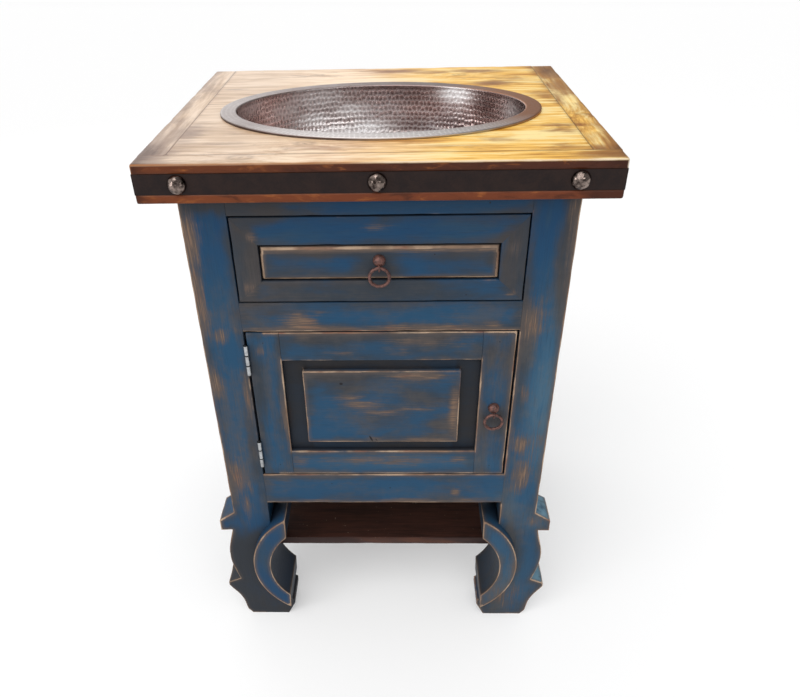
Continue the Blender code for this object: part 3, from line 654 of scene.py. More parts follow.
def close_joints(form, near):
    """Moves each face that is glued to a neighbour a little outward, so that its joint is a hairline."""
    for face in form.faces:
        middle = face.calc_center_median()
        places = [middle] + [v.co.lerp(middle, 0.2) for v in face.verts]
        if any(touches(place, near) for place in places):
            bmesh.ops.translate(form, verts=face.verts, vec=face.normal * GLUE)


def slice_up(form, cell):
    """Cuts a solid's faces along a grid, so that they can bend and hold numbers."""
    points = np.array([v.co for v in form.verts])
    low, high = points.min(0), points.max(0)
    for axis in range(3):
        count = int((high[axis] - low[axis]) / cell)
        for step in range(1, count + 1):
            middle = Vector((0, 0, 0))
            middle[axis] = low[axis] + (high[axis] - low[axis]) * step / (count + 1)
            across = Vector((0, 0, 0))
            across[axis] = 1
            every = form.verts[:] + form.edges[:] + form.faces[:]
            bmesh.ops.bisect_plane(form, geom=every, dist=WELD, plane_co=middle, plane_no=across)


def bare_stretches(arrises, near):
    """For each arris, its stretches that no neighbour on the same body touches."""
    found = []
    for edge in arrises:
        one, other = edge.verts[0].co, edge.verts[1].co
        count = max(1, math.ceil((other - one).length / JOINT_STEP))
        cuts = [one.lerp(other, step / count) for step in range(count + 1)]
        pairs = [(a, b) for a, b in zip(cuts, cuts[1:]) if not touches((a + b) / 2, near)]
        found.append([(np.array(a), np.array(b)) for a, b in pairs])
    return found


def edge_distance(points, segments):
    """Distance from each point to the nearest of some straight edges."""
    nearest = np.full(len(points), 1.0)
    for one, other in segments:
        run = other - one
        share = np.clip((points - one) @ run / (run @ run), 0, 1)
        nearest = np.minimum(nearest, np.linalg.norm(points - one - share[:, None] * run, axis=1))
    return nearest


def woodwork(node, rounding, cell, wave=WAVE_DEPTH, chip=CHIP_DEPTH, edges=None):
    """A piece with rounded, unevenly worn arrises. Returns its mesh, points and normals."""
    form = solid_copy(node)
    near = neighbours(node)
    arrises = arrises_of(form)
    stretches = bare_stretches(arrises, near)
    free = [e for e, bare in zip(arrises, stretches) if bare]
    segments = [pair for bare in stretches for pair in bare]
    every = [tuple(np.array(v.co) for v in e.verts) for e in arrises]
    close_joints(form, near)
    soften(form, free, rounding)
    slice_up(form, cell)
    mesh = mesh_of(form, node)
    points, normals = points_of(mesh), points_of(mesh, "normal")
    edge = edges(points) if edges else edge_distance(points, segments)
    depth = wave * (0.5 + 0.5 * field_of(points, WAVE_SCALE, node))
    chips = np.clip(field_of(points, CHIP_SCALE, node + "_chips"), 0, 1)
    depth += chip * chips * np.clip(1 - edge / CHIP_REACH, 0, 1) ** 2
    mesh.vertices.foreach_set("co", (points - normals * depth[:, None]).ravel())
    smooth(mesh)
    store(mesh, edge=edge, rim=edge_distance(points, every))
    return mesh, points, normals


# Soft marks on the front, in millimetres: x, z, half width and half height, then the strength in hundredths.
RUBS = [
    (-265, 806, 12, 42, 95), (-266, 715, 9, 60, 90), (-264, 566, 10, 30, 85), (-256, 365, 16, 42, 66),
    (-5, 825, 22, 6, 50), (-179, 812, 7, 6, 70), (-190, 733, 10, 8, 60), (187, 789, 10, 12, 35),
    (190, 722, 8, 4, 60), (-118, 674, 22, 16, 85), (-90, 692, 12, 4, 50), (168, 669, 14, 7, 60),
    (-100, 664, 80, 5, 80), (60, 665, 90, 5, 75), (268, 800, 6, 70, 50), (224, 673, 16, 30, 62),
    (229, 439, 14, 22, 80), (238, 366, 14, 32, 85), (228, 541, 7, 20, 50), (262, 449, 6, 20, 50),
    (-186, 624, 6, 8, 70), (-63, 622, 25, 5, 50), (-157, 500, 7, 34, 100), (-140, 404, 14, 9, 60),
    (-58, 537, 28, 6, 55), (-34, 524, 30, 7, 75), (61, 578, 40, 7, 95), (117, 512, 7, 40, 90),
    (71, 449, 30, 4, 95), (126, 332, 8, 8, 80), (125, 406, 16, 7, 60), (-243, 653, 10, 14, 60),
    (-216, 540, 4, 35, 60), (30, 622, 30, 4, 40), (-236, 345, 8, 16, 50), (50, 311, 60, 5, 70),
    (-120, 311, 50, 4, 60), (150, 312, 40, 5, 60), (-245, 300, 8, 30, 60), (0, 508, 34, 7, 60),
    (52, 514, 32, 5, 50), (10, 405, 120, 9, 50), (60, 640, 70, 8, 34), (262, 850, 8, 20, 50),
    (215, 470, 6, 12, 40), (21, 402, 30, 7, 55), (-16, 452, 14, 6, 60), (232, 60, 30, 50, 50),
    (246, 140, 12, 40, 42), (250, 430, 12, 60, 36), (272, 262, 14, 16, 62),
]
# Dark glaze; the marks round the two pulls, at x -4 and 184, are painted shadow.
GLAZES = [
    (-192, 776, 18, 60, 100), (-170, 858, 50, 20, 90), (-240, 866, 45, 20, 130), (190, 776, 16, 55, 70),
    (262, 780, 16, 120, 80), (0, 727, 170, 14, 70), (100, 778, 60, 10, 70), (-60, 788, 60, 10, 60),
    (225, 600, 14, 90, 70), (-160, 690, 50, 12, 60), (-196, 560, 12, 60, 70), (20, 492, 50, 30, 80),
    (70, 540, 60, 30, 70), (180, 620, 20, 30, 60), (-100, 640, 60, 20, 80), (-245, 140, 30, 80, 100),
    (-230, 40, 50, 30, 100), (230, 30, 50, 25, 70), (-80, 330, 60, 12, 40), (110, 340, 50, 16, 40),
    (-222, 440, 10, 80, 60), (245, 140, 30, 80, 30), (-262, 780, 8, 80, 50), (-4, 766, 30, 22, 100),
    (184, 490, 16, 22, 90), (-66, 562, 55, 26, 110), (40, 640, 90, 20, 60), (90, 480, 30, 30, 70),
    (205, 740, 12, 100, 40), (-235, 760, 14, 50, 40), (-100, 770, 60, 20, 35),
]
CLEANS = [
    (20, 820, 160, 18, 45), (0, 858, 150, 16, 40), (-238, 540, 14, 80, 40), (-226, 283, 14, 30, 40),
    (-172, 642, 8, 22, 60), (252, 560, 12, 90, 40), (-110, 766, 40, 14, 8), (170, 692, 50, 12, 35),
    (-70, 474, 50, 16, 35), (-225, 780, 12, 60, 30), (20, 340, 150, 14, 20),
]
# Painted highlights, mostly on the right: paler, lit paint.
CHALKS = [
    (258, 520, 22, 120, 28), (236, 90, 36, 80, 16), (205, 160, 30, 80, 10), (60, 402, 150, 14, 10),
    (225, 300, 30, 40, 12), (270, 266, 18, 24, 20),
]
FRONT_DEPTH = 0.045
SPOT_FADE = 0.7


def marks(points, spots, second=2):
    """How strongly some soft spots cover each point, by its x and its z, or its y."""
    cover = np.zeros(len(points))
    x, other = points[:, 0] / MM, points[:, second] / MM
    for spot_x, spot_other, wide, high, strength in spots:
        reach = ((x - spot_x) / wide) ** 2 + ((other - spot_other) / high) ** 2
        cover = np.maximum(cover, strength / 100 * np.exp(-SPOT_FADE * reach))
    return cover


# Small dark flaws in the paint: x, z, half width, half height and turn of knots, cracks and nail holes.
FLAWS = {
    "door_panel": [(-0.064, 0.564, 0.0036, 0.0030, 0.0), (-0.0190, 0.4530, 0.0021, 0.0085, -0.42),
                   (-0.0100, 0.4500, 0.0009, 0.0040, -0.60)],
    "bottom_rail": [(0.012, 0.342, 0.0016, 0.0012, 0.0), (-0.090, 0.352, 0.0011, 0.0011, 0.0)],
    "top_rail": [(0.150, 0.858, 0.0012, 0.0018, 0.0)],
    "drawer_panel": [(0.078, 0.784, 0.0012, 0.0012, 0.0)],
    "drawer_lower_frame": [(0.125, 0.720, 0.0012, 0.0012, 0.0)],
    "door_hinge_stile": [(-0.180, 0.640, 0.0011, 0.0011, 0.0), (-0.176, 0.396, 0.0011, 0.0011, 0.0)],
    "door_latch_stile": [(0.180, 0.640, 0.0011, 0.0011, 0.0), (0.181, 0.394, 0.0011, 0.0011, 0.0)],
}
FLAW_DEPTH = 10.0

# Legs darker towards their lower ends, more on the left; dusty, faded paint between the feet and the drawer.
GRIME_LEFT = 0.95
GRIME_RIGHT = 0.10
GRIME_TOP = 0.250
GRIME_FADE = 0.050
DUST_TOP = 0.83
DUST_FADE = 0.16
DUST_LEAST = 0.05
DUST_LOW_LEFT = 0.20
DUST_LOW_RIGHT = -0.02
CLEAN = {"left": -0.22, "right": 0.06}
GRIME_SOOT = 0.50


def paint(node, grain, cell=FINE_CELL, wear=0.4, soot=None, rub=None, edges=None):
    """A painted piece. Wear of its arrises goes from 0 to 1, and may depend on the place."""
    mesh, points, normals = woodwork(node, PAINT_ROUND, cell, edges=edges)
    x, y, z = points.T
    front = (y < face_y + FRONT_DEPTH) & (normals[:, 1] < FACING)
    rubbed = front * marks(points, RUBS)
    if rub:
        rubbed = np.maximum(rubbed, rub(points))
    glaze = front * (marks(points, GLAZES) - marks(points, CLEANS))
    chalk = front * marks(points, CHALKS)
    sooty = soot(points, normals) if soot else 0.0
    # Darker paint towards the legs' lower ends, more on the left.
    if "leg" in node:
        grime = (GRIME_LEFT if "left" in node else GRIME_RIGHT) * np.clip((GRIME_TOP - z) / GRIME_FADE, 0, 1)
        glaze, sooty = np.maximum(glaze, grime), grime * GRIME_SOOT
    if "scroll" in node:
        glaze = CLEAN["left" if "left" in node else "right"]
    if node == "front_right_leg":
        # Painted highlight on the right leg's faces that turn up and to the right, as on its ear.
        ledge = np.clip((normals[:, 0] + normals[:, 2] - LEDGE_FROM) / LEDGE_FADE, 0, 1)
        chalk = np.maximum(chalk, ledge * (normals[:, 2] > 0.1))
    low = np.where(x < 0, DUST_LOW_LEFT, DUST_LOW_RIGHT)
    dust = np.clip((DUST_TOP - z) / DUST_FADE, DUST_LEAST, 1) * np.clip((z - low) / DUST_FADE, DUST_LEAST, 1)
    store(mesh, rub=rubbed, glaze=glaze, dust=dust, chalk=chalk, soot=sooty,
          wear=wear(points) if callable(wear) else wear)
    stand_in(node, mesh, painted(node, grain))


def sunk_soot(points, normals):
    """Antiquing and painted shade in the sunk border of the door's panel."""
    grime = np.where(np.abs(points[:, 0]) > SUNK_SIDE, SUNK_SOOT_SIDE, SUNK_SOOT)
    return np.where(points[:, 1] > face_y + SUNK_START, grime, 0.0)


def gap_soot(points, normals):
    """Painted shade on the sides of a front frame's pieces, in the gaps between them."""
    return GAP_SOOT * np.clip((points[:, 1] - face_y - GAP_START) / GAP_FADE, 0, 1)


def scroll_soot(points, normals):
    """Painted shade on the hollow side of a scroll, and painted shadow on its round side behind the front edge."""
    inward = -normals[:, 0] * np.sign(points[:, 0])
    depth = points[:, 1] - points[:, 1].min() - SCROLL_START
    behind = np.clip(depth / SCROLL_FADE, 0, SCROLL_BEHIND) * (inward < 0.2)
    return np.maximum(np.clip(inward * 1.6 - 0.3, 0, SCROLL_SOOT), behind)


def pad_inset(points):
    """How far each point lies inside the outline of the drawer's panel."""
    low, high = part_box("drawer_panel")
    x, _, z = points.T
    return np.minimum(np.minimum(x - low.x, high.x - x), np.minimum(z - low.z, high.z - z))


def pad_top(points, upper, elsewhere):
    """One number along the upper edge of the drawer's panel, another elsewhere."""
    return np.where(points[:, 2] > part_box("drawer_panel")[1].z - PAD_UPPER, upper, elsewhere)


def pad_soot(points, normals):
    """Painted shadow in the gap round the drawer's panel, wider along its upper edge."""
    gap = pad_top(points, PAD_GAP + PAD_DROP, PAD_GAP)
    return PAD_SOOT * np.clip((gap - pad_inset(points)) / PAD_FADE, 0, 1)


def pad_rub(points):
    """Bare wood on the chamfers of the drawer's panel, most above."""
    return np.clip(1.15 - (pad_inset(points) - PAD_GAP) / pad_top(points, 0.012, 0.006), 0, 1)


def pad_edges(points):
    """Distance from the bright line on the chamfers of the drawer's panel."""
    return np.abs(pad_inset(points) - pad_top(points, PAD_LINE + PAD_DROP, PAD_LINE))


def change(axis, level, low_wear, high_wear):
    """Wear that changes at a level of one coordinate."""
    return lambda points: np.where(points[:, axis] < level, low_wear, high_wear)


def leg_wear(points):
    """Wear of a leg: much outside, less on the inner side of the left ones, least beside the drawer."""
    x, _, z = points.T
    inner = np.where(z > DRAWER_LEVEL, np.where(x > 0, 0.3, 0.05), np.where(x > 0, 0.8, 0.30))
    return np.where(np.abs(x) > OUTER_SIDE, 0.85, inner)


# Burnt places on the top, in millimetres: x, y, half length and half width, then the strength in hundredths.
BURNS = [
    (-306, -235, 30, 45, 80), (298, -248, 40, 28, 70), (296, 235, 20, 50, 70), (-300, 170, 12, 80, 12),
    (193, 150, 30, 16, 75), (250, -222, 30, 12, 50), (-141, 225, 50, 12, 35), (-262, -114, 20, 12, 40),
    (255, -120, 35, 10, 55), (96, -212, 50, 6, 45), (270, 50, 20, 30, 40), (240, 180, 30, 14, 35),
    (-80, -215, 60, 10, 40), (-210, -190, 50, 10, 35), (300, 120, 12, 60, 50), (-255, 130, 25, 10, 40),
    (20, 256, 45, 14, 75), (170, 248, 50, 12, 42), (-272, -140, 22, 70, 50), (92, 244, 40, 14, 45),
    (287, 120, 16, 40, 45), (283, 24, 8, 40, 42), (255, -146, 28, 16, 50), (295, -190, 16, 40, 20),
    (236, -238, 30, 12, 45), (165, -188, 30, 12, 50),
]
# Knots, in metres: x, y and radius.
KNOTS = [(-0.178, -0.250, 0.014), (-0.100, -0.192, 0.012), (0.262, -0.126, 0.008), (-0.118, 0.235, 0.010),
         (0.140, 0.220, 0.011), (0.302, -0.060, 0.008)]
# Across the top, from the tan left, partly painted sheen, to the gold right.
TAN_FROM = -0.20
TAN_TO = -0.03
GOLD_FROM = -0.035
GOLD_TO = 0.105
GOLD_STRAY = 0.05
GOLD_SCALE = 22
ARRIS_DEPTH = 0.02
CHAR_LEFT = 0.293
CHAR_RIGHT = 0.283
CHAR_LOW_RIGHT = 0.258
CHAR_FADE = 0.020
SIDE_BURN = (0.60, 0.45)
SIDE_BURN_REACH = (0.016, 0.008)
FRONT_BURN = 0.30
FRONT_BURN_END = -0.05
FRONT_BURN_REACH = 0.008
BACK_BURN = 0.08
BACK_BURN_FROM = 0.13
BACK_BURN_FADE = 0.08
RIGHT_END_BURN = 0.16


def varnish(node, grain):
    """A board of the top."""
    mesh, points, normals = woodwork(node, INNER_ROUND if node == "top_panel" else SLAB_ROUND, FINE_CELL)
    x, y, z = points.T
    low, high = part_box(node)
    middle = (low.z + high.z) / 2
    upper = np.where(z > high.z - SLAB_ROUND * 1.5, np.clip(normals[:, 2] * 1.6 - 0.4, 0, 1), 0)
    knot = np.zeros(len(points))
    bend = np.zeros(len(points))
    for knot_x, knot_y, radius in KNOTS:
        apart = np.hypot((x - knot_x) / 1.5, y - knot_y) / radius
        rings = 0.55 + 0.45 * np.cos(apart * 9)
        knot = np.maximum(knot, np.where(apart < 1, (0.30 + 0.45 * (1 - apart)) * rings, 0))
        bend += np.sign(y - knot_y) * radius * np.exp(-apart ** 2 / 6)
    burn = marks(points, BURNS, 1)
    burn += np.where(x < 0, *SIDE_BURN) * np.exp((np.abs(x) - half_top) / np.where(x < 0, *SIDE_BURN_REACH))
    burn += np.where(x < FRONT_BURN_END, FRONT_BURN, 0.0) * np.exp((slab_front - y) / FRONT_BURN_REACH)
    behind = np.clip((y - BACK_BURN_FROM) / BACK_BURN_FADE, 0, 1)
    burn += BACK_BURN * behind * np.clip(x / BACK_BURN_FADE, 0, 1)
    burn += RIGHT_END_BURN * (node == "top_right_end")
    start = np.where(x < 0, CHAR_LEFT, np.where(z < middle, CHAR_LOW_RIGHT, CHAR_RIGHT))
    stray = GOLD_STRAY * field_of(points * (0.35, 1, 1), GOLD_SCALE, "gold")
    # side takes the darker edge colours, stain and painted shade; arris marks the front line of wear and painted
    # highlight.
    store(mesh, side=1 - upper, low=z < middle, char=np.clip((np.abs(x) - start) / CHAR_FADE, 0, 1),
          arris=(y < slab_front + ARRIS_DEPTH) & (z > middle),
          tan=np.clip((TAN_TO - x) / (TAN_TO - TAN_FROM), 0, 1),
          gold=np.clip((x + stray - GOLD_FROM) / (GOLD_TO - GOLD_FROM), 0, 1),
          burn=burn * upper, knot=knot * upper, bend=bend)
    stand_in(node, mesh, stained(node, grain))


def wood(node, grain):
    """An unpainted wooden piece."""
    mesh = woodwork(node, INNER_ROUND, COARSE_CELL, chip=0)[0]
    stand_in(node, mesh, plain_wood(node, grain, RAW_LIGHT, RAW_DARK, 0.50))


def shelf(node, grain):
    """The stained shelf."""
    mesh, _, normals = woodwork(node, INNER_ROUND, CELL)
    store(mesh, edge_face=np.clip(-normals[:, 1] * 1.6 - 0.4, 0, 1))
    stand_in(node, mesh, plain_wood(node, grain, SHELF_LIGHT, SHELF_DARK, 0.34, True))


def fitting(node, material):
    """A metal piece with softened edges."""
    form = solid_copy(node)
    soften(form, arrises_of(form), DRAIN_ROUND)
    mesh = mesh_of(form, node)
    smooth(mesh)
    stand_in(node, mesh, material)


def loft(form, rings, joined=True):
    """Adds faces between closed rings of points; the two end rings are joined, or else capped."""
    rows = [[form.verts.new(p) for p in ring] for ring in rings]
    for upper, lower in zip(rows, rows[1:] + (rows[:1] if joined else [])):
        for step in range(len(upper)):
            after = (step + 1) % len(upper)
            form.faces.new((upper[step], upper[after], lower[after], lower[step]))
    if not joined:
        form.faces.new(list(reversed(rows[0])))
        form.faces.new(rows[-1])
    bmesh.ops.recalc_face_normals(form, faces=form.faces)
    return form


def bowl_profile(share):
    """Spread and drop of the bowl's wall, from 0 at the rim to 1 at the drain."""
    turn = math.pi / 2 * share
    spread = abs(math.cos(turn)) ** FULLNESS
    drop = math.sin(turn) ** FULLNESS if share > 0 else 0.0
    return spread, drop


# Painted highlights (SHINES) and painted shade (SHADES) on the bowl's rear wall, written like the marks on the
# front.
SHINES = [
    (-75, 852, 75, 20, 70), (124, 916, 24, 12, 140), (-50, 884, 80, 20, 35), (212, 906, 12, 16, 65),
    (-110, 910, 50, 22, 80), (128, 894, 20, 12, 25), (-118, 880, 34, 14, 90), (-56, 888, 36, 14, 90),
    (-212, 916, 20, 14, 50), (-20, 860, 40, 14, 90), (-155, 899, 30, 16, 65),
]
SHADES = [
    (60, 856, 50, 22, 70), (172, 905, 18, 26, 62), (50, 914, 45, 18, 60), (128, 868, 40, 14, 75),
    (75, 910, 26, 20, 45),
]


def hammer_marks(wall, length, fine, centre, half_l, half_w, top):
    """A tree of the places that the hammer struck, row by row down the bowl and then round the rim."""
    draw = random.Random("hammer marks")
    centres = []

    def strike(row, count, long, wide, level, high):
        for step in range(count):
            turn = math.tau * (step + 0.5 * (row % 2) + draw.uniform(-0.2, 0.2)) / count
            lift = draw.uniform(-0.2, 0.2) * high if high else 0.0
            centres.append((centre.x + long * math.cos(turn), centre.y + wide * math.sin(turn), level + lift))

    for row in range(int(length[-1] / MARK_HIGH)):
        long, wide, level = wall(float(np.interp((row + 0.5) * MARK_HIGH, length, fine)))
        around = math.pi * (3 * (long + wide) - math.sqrt((3 * long + wide) * (long + 3 * wide)))
        strike(row, max(6, int(around / MARK_WIDE)), long, wide, level, MARK_HIGH)
    for row, inset in enumerate(RIM_MARKS):
        long, wide = half_l - inset, half_w - inset
        strike(row, int(math.pi * (long + wide) / MARK_WIDE), long, wide, top, 0.0)
    tree = kdtree.KDTree(len(centres))
    for index, spot in enumerate(centres):
        tree.insert(spot, index)
    tree.balance()
    return tree


def basin():
    """The copper basin with its hammer marks."""
    low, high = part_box("sink_basin")
    centre = (low + high) / 2
    half_l, half_w = (high.x - low.x) / 2, (high.y - low.y) / 2
    top = high.z
    turns = np.linspace(0, math.tau, BASIN_COLUMNS, endpoint=False)

    def ellipse(long, wide, level):
        return np.column_stack((centre.x + long * np.cos(turns), centre.y + wide * np.sin(turns),
                                np.full(BASIN_COLUMNS, level)))

    def outline(inset, level):
        return ellipse(half_l - inset, half_w - inset, level)

    def wall(share, thick=0.0):
        spread, drop = bowl_profile(share)
        return (DRAIN_FOOT + (half_l - RIM - DRAIN_FOOT) * spread + thick,
                DRAIN_FOOT + (half_w - RIM - DRAIN_FOOT) * spread + thick, top - BOWL_DEPTH * drop)

    fine = np.linspace(0, 1, 2000)
    drops = np.array([wall(s) for s in fine])
    length = np.concatenate(([0], np.cumsum(np.linalg.norm(np.diff(drops[:, 1:], axis=0), axis=1))))
    shares = np.interp(np.linspace(0, length[-1], BASIN_ROWS), length, fine)

    bed = top - LIP
    rings = [outline(0, bed + BED_GAP), outline(0, top - BASIN_WALL * 0.6),
             outline(BASIN_WALL * 0.2, top - BASIN_WALL * 0.2), outline(BASIN_WALL * 0.7, top)]
    for step in range(1, RIM_ROWS + 1):
        rings.append(outline(BASIN_WALL * 0.7 + (RIM - BASIN_WALL * 1.4) * step / RIM_ROWS, top))
    rim_end = len(rings)
    rings += [ellipse(*wall(s)) for s in shares[1:]]
    seat = top - BOWL_DEPTH - DRAIN_SINK
    rings += [ellipse(DRAIN_SEAT, DRAIN_SEAT, seat), ellipse(DRAIN_HOLE, DRAIN_HOLE, seat)]
    upper = len(rings)
    rings += [ellipse(radius, radius, seat - BASIN_WALL) for radius in (DRAIN_HOLE, DRAIN_FOOT)]
    for share in np.linspace(0.97, 0.02, 16):
        long, wide, level = wall(share, BASIN_WALL)
        rings.append(ellipse(long, wide, min(level - BASIN_WALL * 0.6, bed - BASIN_WALL)))
    rings.append(outline(RIM - BASIN_WALL, bed + BED_GAP))
    mesh = mesh_of(loft(bmesh.new(), rings), "sink_basin")
    mesh.shade_smooth()

    tree = hammer_marks(wall, length, fine, centre, half_l, half_w, top)
    points, normals = points_of(mesh), points_of(mesh, "normal")
    row = np.arange(len(points)) // BASIN_COLUMNS
    on_rim = row < rim_end
    ridge = np.zeros(len(points))
    for index in range(BASIN_COLUMNS * 3, BASIN_COLUMNS * upper):
        first, second = tree.find_n(points[index], 2)
        ridge[index] = 2 * first[2] / (first[2] + second[2])
    struck = (row >= 3) & (row < upper)
    depth = np.where(on_rim, RIM_MARK_DEPTH, MARK_DEPTH) * (1 - ridge ** 2) * struck
    mesh.vertices.foreach_set("co", (points - normals * depth[:, None]).ravel())
    mesh.update()
    x, y = points[:, 0] - centre.x, points[:, 1] - centre.y
    rear = ~on_rim & (y > 0)
    ends = np.where(on_rim, np.clip((x - 0.10) / 0.10, 0, 1), np.clip((np.abs(x) - 0.09) / 0.10, 0, 0.8))
    # Painted reflection on the rim where it faces the front and the left.
    facing = np.clip(0.08 * x / half_l - 1.2 * y / half_w - 0.48, 0, 0.67) * 1.5
    facing = np.maximum(facing, np.clip(-x / half_l - 0.6, 0, 0.4))
    # Painted shadow on the rim's outer lip, fading towards the right.
    lip = LIP_SHADE * np.clip((LIP_BRIGHT - x) / LIP_FADE, 0.2, 1) * (row < 2)
    fade = np.where(row < rim_end - 1, 1, np.clip((row - rim_end + 1) / LIP_ROWS, 0.45, 1))
    store(mesh, ridge=ridge * fade, rim=on_rim, ends=ends,
          polish=np.where(on_rim, facing, rear * marks(points, SHINES)),
          shade=np.where(on_rim, lip, rear * marks(points, SHADES)))
    stand_in("sink_basin", mesh, hammered_copper())


def direction(tilt, spin):
    """A direction tilted away from +Z and turned about it."""
    return Vector((math.sin(tilt) * math.cos(spin), math.sin(tilt) * math.sin(spin), math.cos(tilt)))


def nail(node, outward, material):
    """A domed nail head, beaten into facets."""
    low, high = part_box(node)
    axis = Vector(outward)
    reach = abs((high - low) @ axis)
    base = (low + high) / 2 - axis * reach / 2
    turn = axis.to_track_quat("Z", "Y").to_matrix()
    radius = max(high - low) / 2
    draw = random.Random(node)
    facets = []
    for _ in range(NAIL_FACETS):
        spin, tilt = draw.uniform(0, math.tau), math.acos(draw.uniform(0.15, 1))
        facets.append((direction(tilt, spin), draw.uniform(0.94, 0.985)))
    rings = []
    for row in range(1, NAIL_ROWS + 1):
        ring = []
        for step in range(NAIL_COLUMNS):
            way = direction(math.pi / 2 * row / NAIL_ROWS, math.tau * step / NAIL_COLUMNS)
            size = min([1.0] + [offset / max(way @ facing, 0.01) for facing, offset in facets])
            spread = Vector((way.x * radius * size, way.y * radius * size, way.z * reach * size))
            ring.append(base + turn @ spread)
        rings.append(ring)
    mesh = mesh_of(loft(bmesh.new(), rings, False), node)
    smooth(mesh, NAIL_SHARP)
    stand_in(node, mesh, material)


def wire_loop(centre, radius, way_out, thickness):
    """Rings of points along a round wire bent to a circle in the plane of +Z and another direction."""
    across = Vector(way_out).cross(UP)
    rings = []
    for step in range(RING_STEPS):
        spin = math.tau * step / RING_STEPS
        way = Vector(way_out) * math.cos(spin) + UP * math.sin(spin)
        thick = thickness(way)
        rings.append([centre + way * (radius + thick * math.cos(t)) + across * thick * math.sin(t)
                      for t in np.linspace(0, math.tau, RING_SIDES, endpoint=False)])
    return rings


def ring_pull(node, material):
    """A forged ring, slightly uneven in its thickness."""
    low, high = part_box(node)
    wire = (high.y - low.y) / 2
    rings = wire_loop((low + high) / 2, (high.x - low.x) / 2 - wire, (1, 0, 0),
                      lambda way: wire * (0.98 + 0.06 * noise.noise(way * 2.3) + 0.02 * noise.noise(way * 9)))
    mesh = mesh_of(loft(bmesh.new(), rings), node)
    mesh.shade_smooth()
    stand_in(node, mesh, material)


def rosette(node, eye, material):
    """A domed rosette, and the wire eye in it that the ring hangs in."""
    low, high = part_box(node)
    radius = (high.x - low.x) / 2
    centre = Vector((eye.x, high.y, high.z - radius))
    rings = []
    for row in range(1, DOME_ROWS + 1):
        tilt = math.pi / 2 * row / DOME_ROWS
        size = radius * math.sin(tilt)
        rings.append([centre + Vector((size * math.cos(t), -DOME_RISE * math.cos(tilt), size * math.sin(t)))
                      for t in np.linspace(0, math.tau, DOME_COLUMNS, endpoint=False)])
    form = loft(bmesh.new(), rings, False)
    outer = eye.z - low.z
    wire = (outer - EYE_BORE) / 2
    loft(form, wire_loop(eye, outer - wire, (0, -1, 0), lambda way: wire))
    mesh = mesh_of(form, node)
    smooth(mesh)
    stand_in(node, mesh, material)


def camera():
    """The photograph's camera."""
    data = bpy.data.cameras.new("camera")
    data.sensor_fit = "HORIZONTAL"
    data.sensor_width = SENSOR
    data.lens = FOCAL / IMAGE[0] * SENSOR
    data.shift_x = (IMAGE[0] / 2 - PRINCIPAL[0]) / IMAGE[0]
    data.shift_y = (PRINCIPAL[1] - IMAGE[1] / 2) / IMAGE[0]
    scene.camera = added("camera", data)
    aim = Matrix.Rotation(-YAW, 4, "Z") @ Matrix.Rotation(math.pi / 2 - PITCH, 4, "X")
    scene.camera.matrix_world = Matrix.Translation(CAMERA_AT) @ aim @ Matrix.Rotation(-ROLL, 4, "Z")


def soft_box(name, place, target, size, watts):
    """A broad lamp that looks at a point."""
    data = bpy.data.lights.new(name, "AREA")
    data.shape = "RECTANGLE"
    data.size, data.size_y = size
    data.energy = watts
    made = added(name, data)
    made.location = place
    made.rotation_euler = (Vector(target) - Vector(place)).to_track_quat("-Z", "Y").to_euler()


def seen(g, path, shine):
    """1 for a ray that comes from the camera or through glass; else the number given for shine."""
    return g.math("MAXIMUM", path["Is Camera Ray"], g.math("MAXIMUM", shine, path["Is Transmission Ray"]))


def studio():
    """Floor, sky and lamps."""
    mesh = bpy.data.meshes.new("floor")
    corners = [(x * FLOOR_HALF, y * FLOOR_HALF, 0) for x, y in ((-1, -1), (1, -1), (1, 1), (-1, 1))]
    mesh.from_pydata(corners, [], [(0, 1, 2, 3)])
    floor = added("floor", mesh)
    made, g, shader = new_material("floor")
    shader.inputs["Base Color"].default_value = (*FLOOR, 1)
    shader.inputs["Roughness"].default_value = 0.9
    shader.inputs["Specular IOR Level"].default_value = 0.0
    shader.inputs["Emission Color"].default_value = (1, 1, 1, 1)
    path = g.node("ShaderNodeLightPath").outputs
    g.feed(shader.inputs["Emission Strength"], g.times(seen(g, path, path["Is Glossy Ray"]), FLOOR_LIFT))
    mesh.materials.append(made)

    world = bpy.data.worlds.new("sky")
    scene.world = world
    world.use_nodes = True
    g = Graph(world.node_tree)
    back = world.node_tree.nodes["Background"]
    back.inputs["Color"].default_value = (1, 1, 1, 1)
    path = g.node("ShaderNodeLightPath").outputs
    way = g.node("ShaderNodeSeparateXYZ", {0: g.node("ShaderNodeTexCoord").outputs["Generated"]}).outputs["X"]
    shown = seen(g, path, g.times(path["Is Glossy Ray"], g.ramp(way, 0.30, -0.05)))
    dark = g.times(path["Is Glossy Ray"], g.ramp(way, -0.06, 0.20))
    g.feed(back.inputs["Strength"], g.total((shown, 1 - SKY_LIGHT), (dark, -DARK_SIDE), (1.0, SKY_LIGHT)))

    data = bpy.data.lights.new("sun", "SUN")
    data.energy = SUN_STRENGTH
    data.angle = SUN_ANGLE
    added("sun", data).rotation_euler = Vector(SUN_FROM).to_track_quat("Z", "Y").to_euler()
    soft_box("back_left", (-1.55, 3.2, 1.75), (-0.1, 0, 0.9), (3.0, 0.9), 6)
    soft_box("front_right", (0.85, -1.85, 1.45), (-0.08, 0.11, 0.86), (0.8, 0.4), 4)
    soft_box("front_left", (-1.62, -1.20, 1.25), (0.14, 0.09, 0.92), (0.8, 0.5), 6)
    soft_box("above", (-0.2, 0.75, 2.7), (0, 0, 0.9), (1.1, 0.4), 4)
    scene.view_settings.view_transform = "Standard"


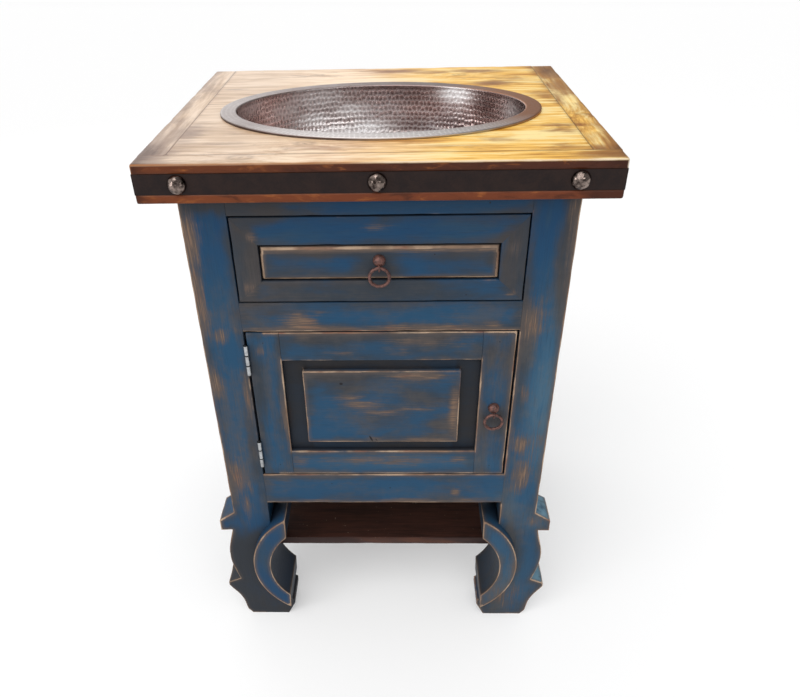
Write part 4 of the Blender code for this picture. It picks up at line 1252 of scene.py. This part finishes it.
PAINT = paint_group()
VARNISH = varnish_group()
WOOD = wood_group()
METAL = metal_group()
SURFACES = {name: faces_of(node.data) for name, node in frame["nodes"].items()}
EYES = {joint["child"]: Vector(joint["pos_m"]) for joint in frame["joints"] if "pos_m" in joint}
slab_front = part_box("top_front_board")[0].y
half_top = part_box("top_front_board")[1].x
face_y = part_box("top_rail")[0].y

camera()
studio()

for name, grain in (("panel", "X"), ("front_board", "X"), ("left_end", "Y"), ("right_end", "Y")):
    varnish("top_" + name, grain)
strap_iron = metal("strap_iron", STRAP_BROWN, STRAP_BLACK, 40.0, 0.42, 0.3, Specular_IOR_Level=0.15)
stand_in("edge_strap", woodwork("edge_strap", STRAP_ROUND, STRAP_CELL, chip=0)[0], strap_iron)
nail_bronze = metal("nail_bronze", BRONZE, BRONZE_DARK, 130.0, 0.14, 0.10, Metallic=1.0)
for name in ("left", "middle", "right"):
    nail("nail_front_" + name, (0, -1, 0), nail_bronze)
for side, x in (("left", -1), ("right", 1)):
    for end in ("front", "rear"):
        nail(f"nail_{side}_{end}", (x, 0, 0), nail_bronze)

basin()
drain_bronze = metal("drain_bronze", DRAIN_BRONZE, BRONZE_DARK, 60.0, 0.3, 0.1, Metallic=1.0)
for name in ("flange", "locknut", "tailpiece"):
    fitting("drain_" + name, drain_bronze)

for end, cell in (("front", FINE_CELL), ("rear", CELL)):
    for side in ("left", "right"):
        paint(f"{end}_{side}_leg", "Z", cell, leg_wear)
        paint(f"{end}_{side}_scroll", "Z", FINE_CELL, 1.0, scroll_soot)
for name, wear in (("top", 0.05), ("middle", change(2, 0.668, 0.95, 0.05)), ("bottom", 0.85)):
    paint(name + "_rail", "X", wear=wear, soot=gap_soot)
for side in ("left", "right"):
    paint(side + "_side_panel", "Z", PANEL_CELL, 0.5)
    paint(side + "_stretcher", "Y", PANEL_CELL)
    wood(side + "_runner", "Y")
paint("back_panel", "Z", PANEL_CELL, 0.5)
wood("cabinet_floor", "X")
wood("door_stop", "Z")
shelf("shelf", "X")

for name, grain in (("upper", "X"), ("lower", "X"), ("left", "Z"), ("right", "Z")):
    paint(f"drawer_{name}_frame", grain, wear=0.10, soot=gap_soot)
paint("drawer_panel", "X", PAD_CELL, 0.9, pad_soot, pad_rub, pad_edges)
for name, grain in (("left_side", "Y"), ("right_side", "Y"), ("bottom", "X"), ("back", "X")):
    wood("drawer_" + name, grain)

for name, grain, wear in (("hinge_stile", "Z", change(0, -0.18, 0.15, 0.8)), ("latch_stile", "Z", 0.85),
                          ("upper_rail", "X", change(2, 0.633, 0.5, 0.8)), ("lower_rail", "X", 0.85)):
    paint("door_" + name, grain, wear=wear, soot=gap_soot)
paint("door_panel", "X", wear=0.75, soot=sunk_soot)

rust = metal("rust_iron", RUST_RED, RUST_DARK, 170.0, 0.45, 0.35, Metallic=0.5)
steel = metal("hinge_steel", STEEL, STEEL_DARK, 120.0, 0.34, 0.1, True, Metallic=1.0)
for name in ("drawer", "door"):
    rosette(name + "_rosette", EYES[name + "_pull"], rust)
    ring_pull(name + "_ring", rust)
for level in ("lower", "upper"):
    for part in ("post", "door"):
        leaf = f"{level}_hinge_{part}_leaf"
        stand_in(leaf, woodwork(leaf, LEAF_ROUND, LEAF_CELL, wave=0, chip=0)[0], steel)
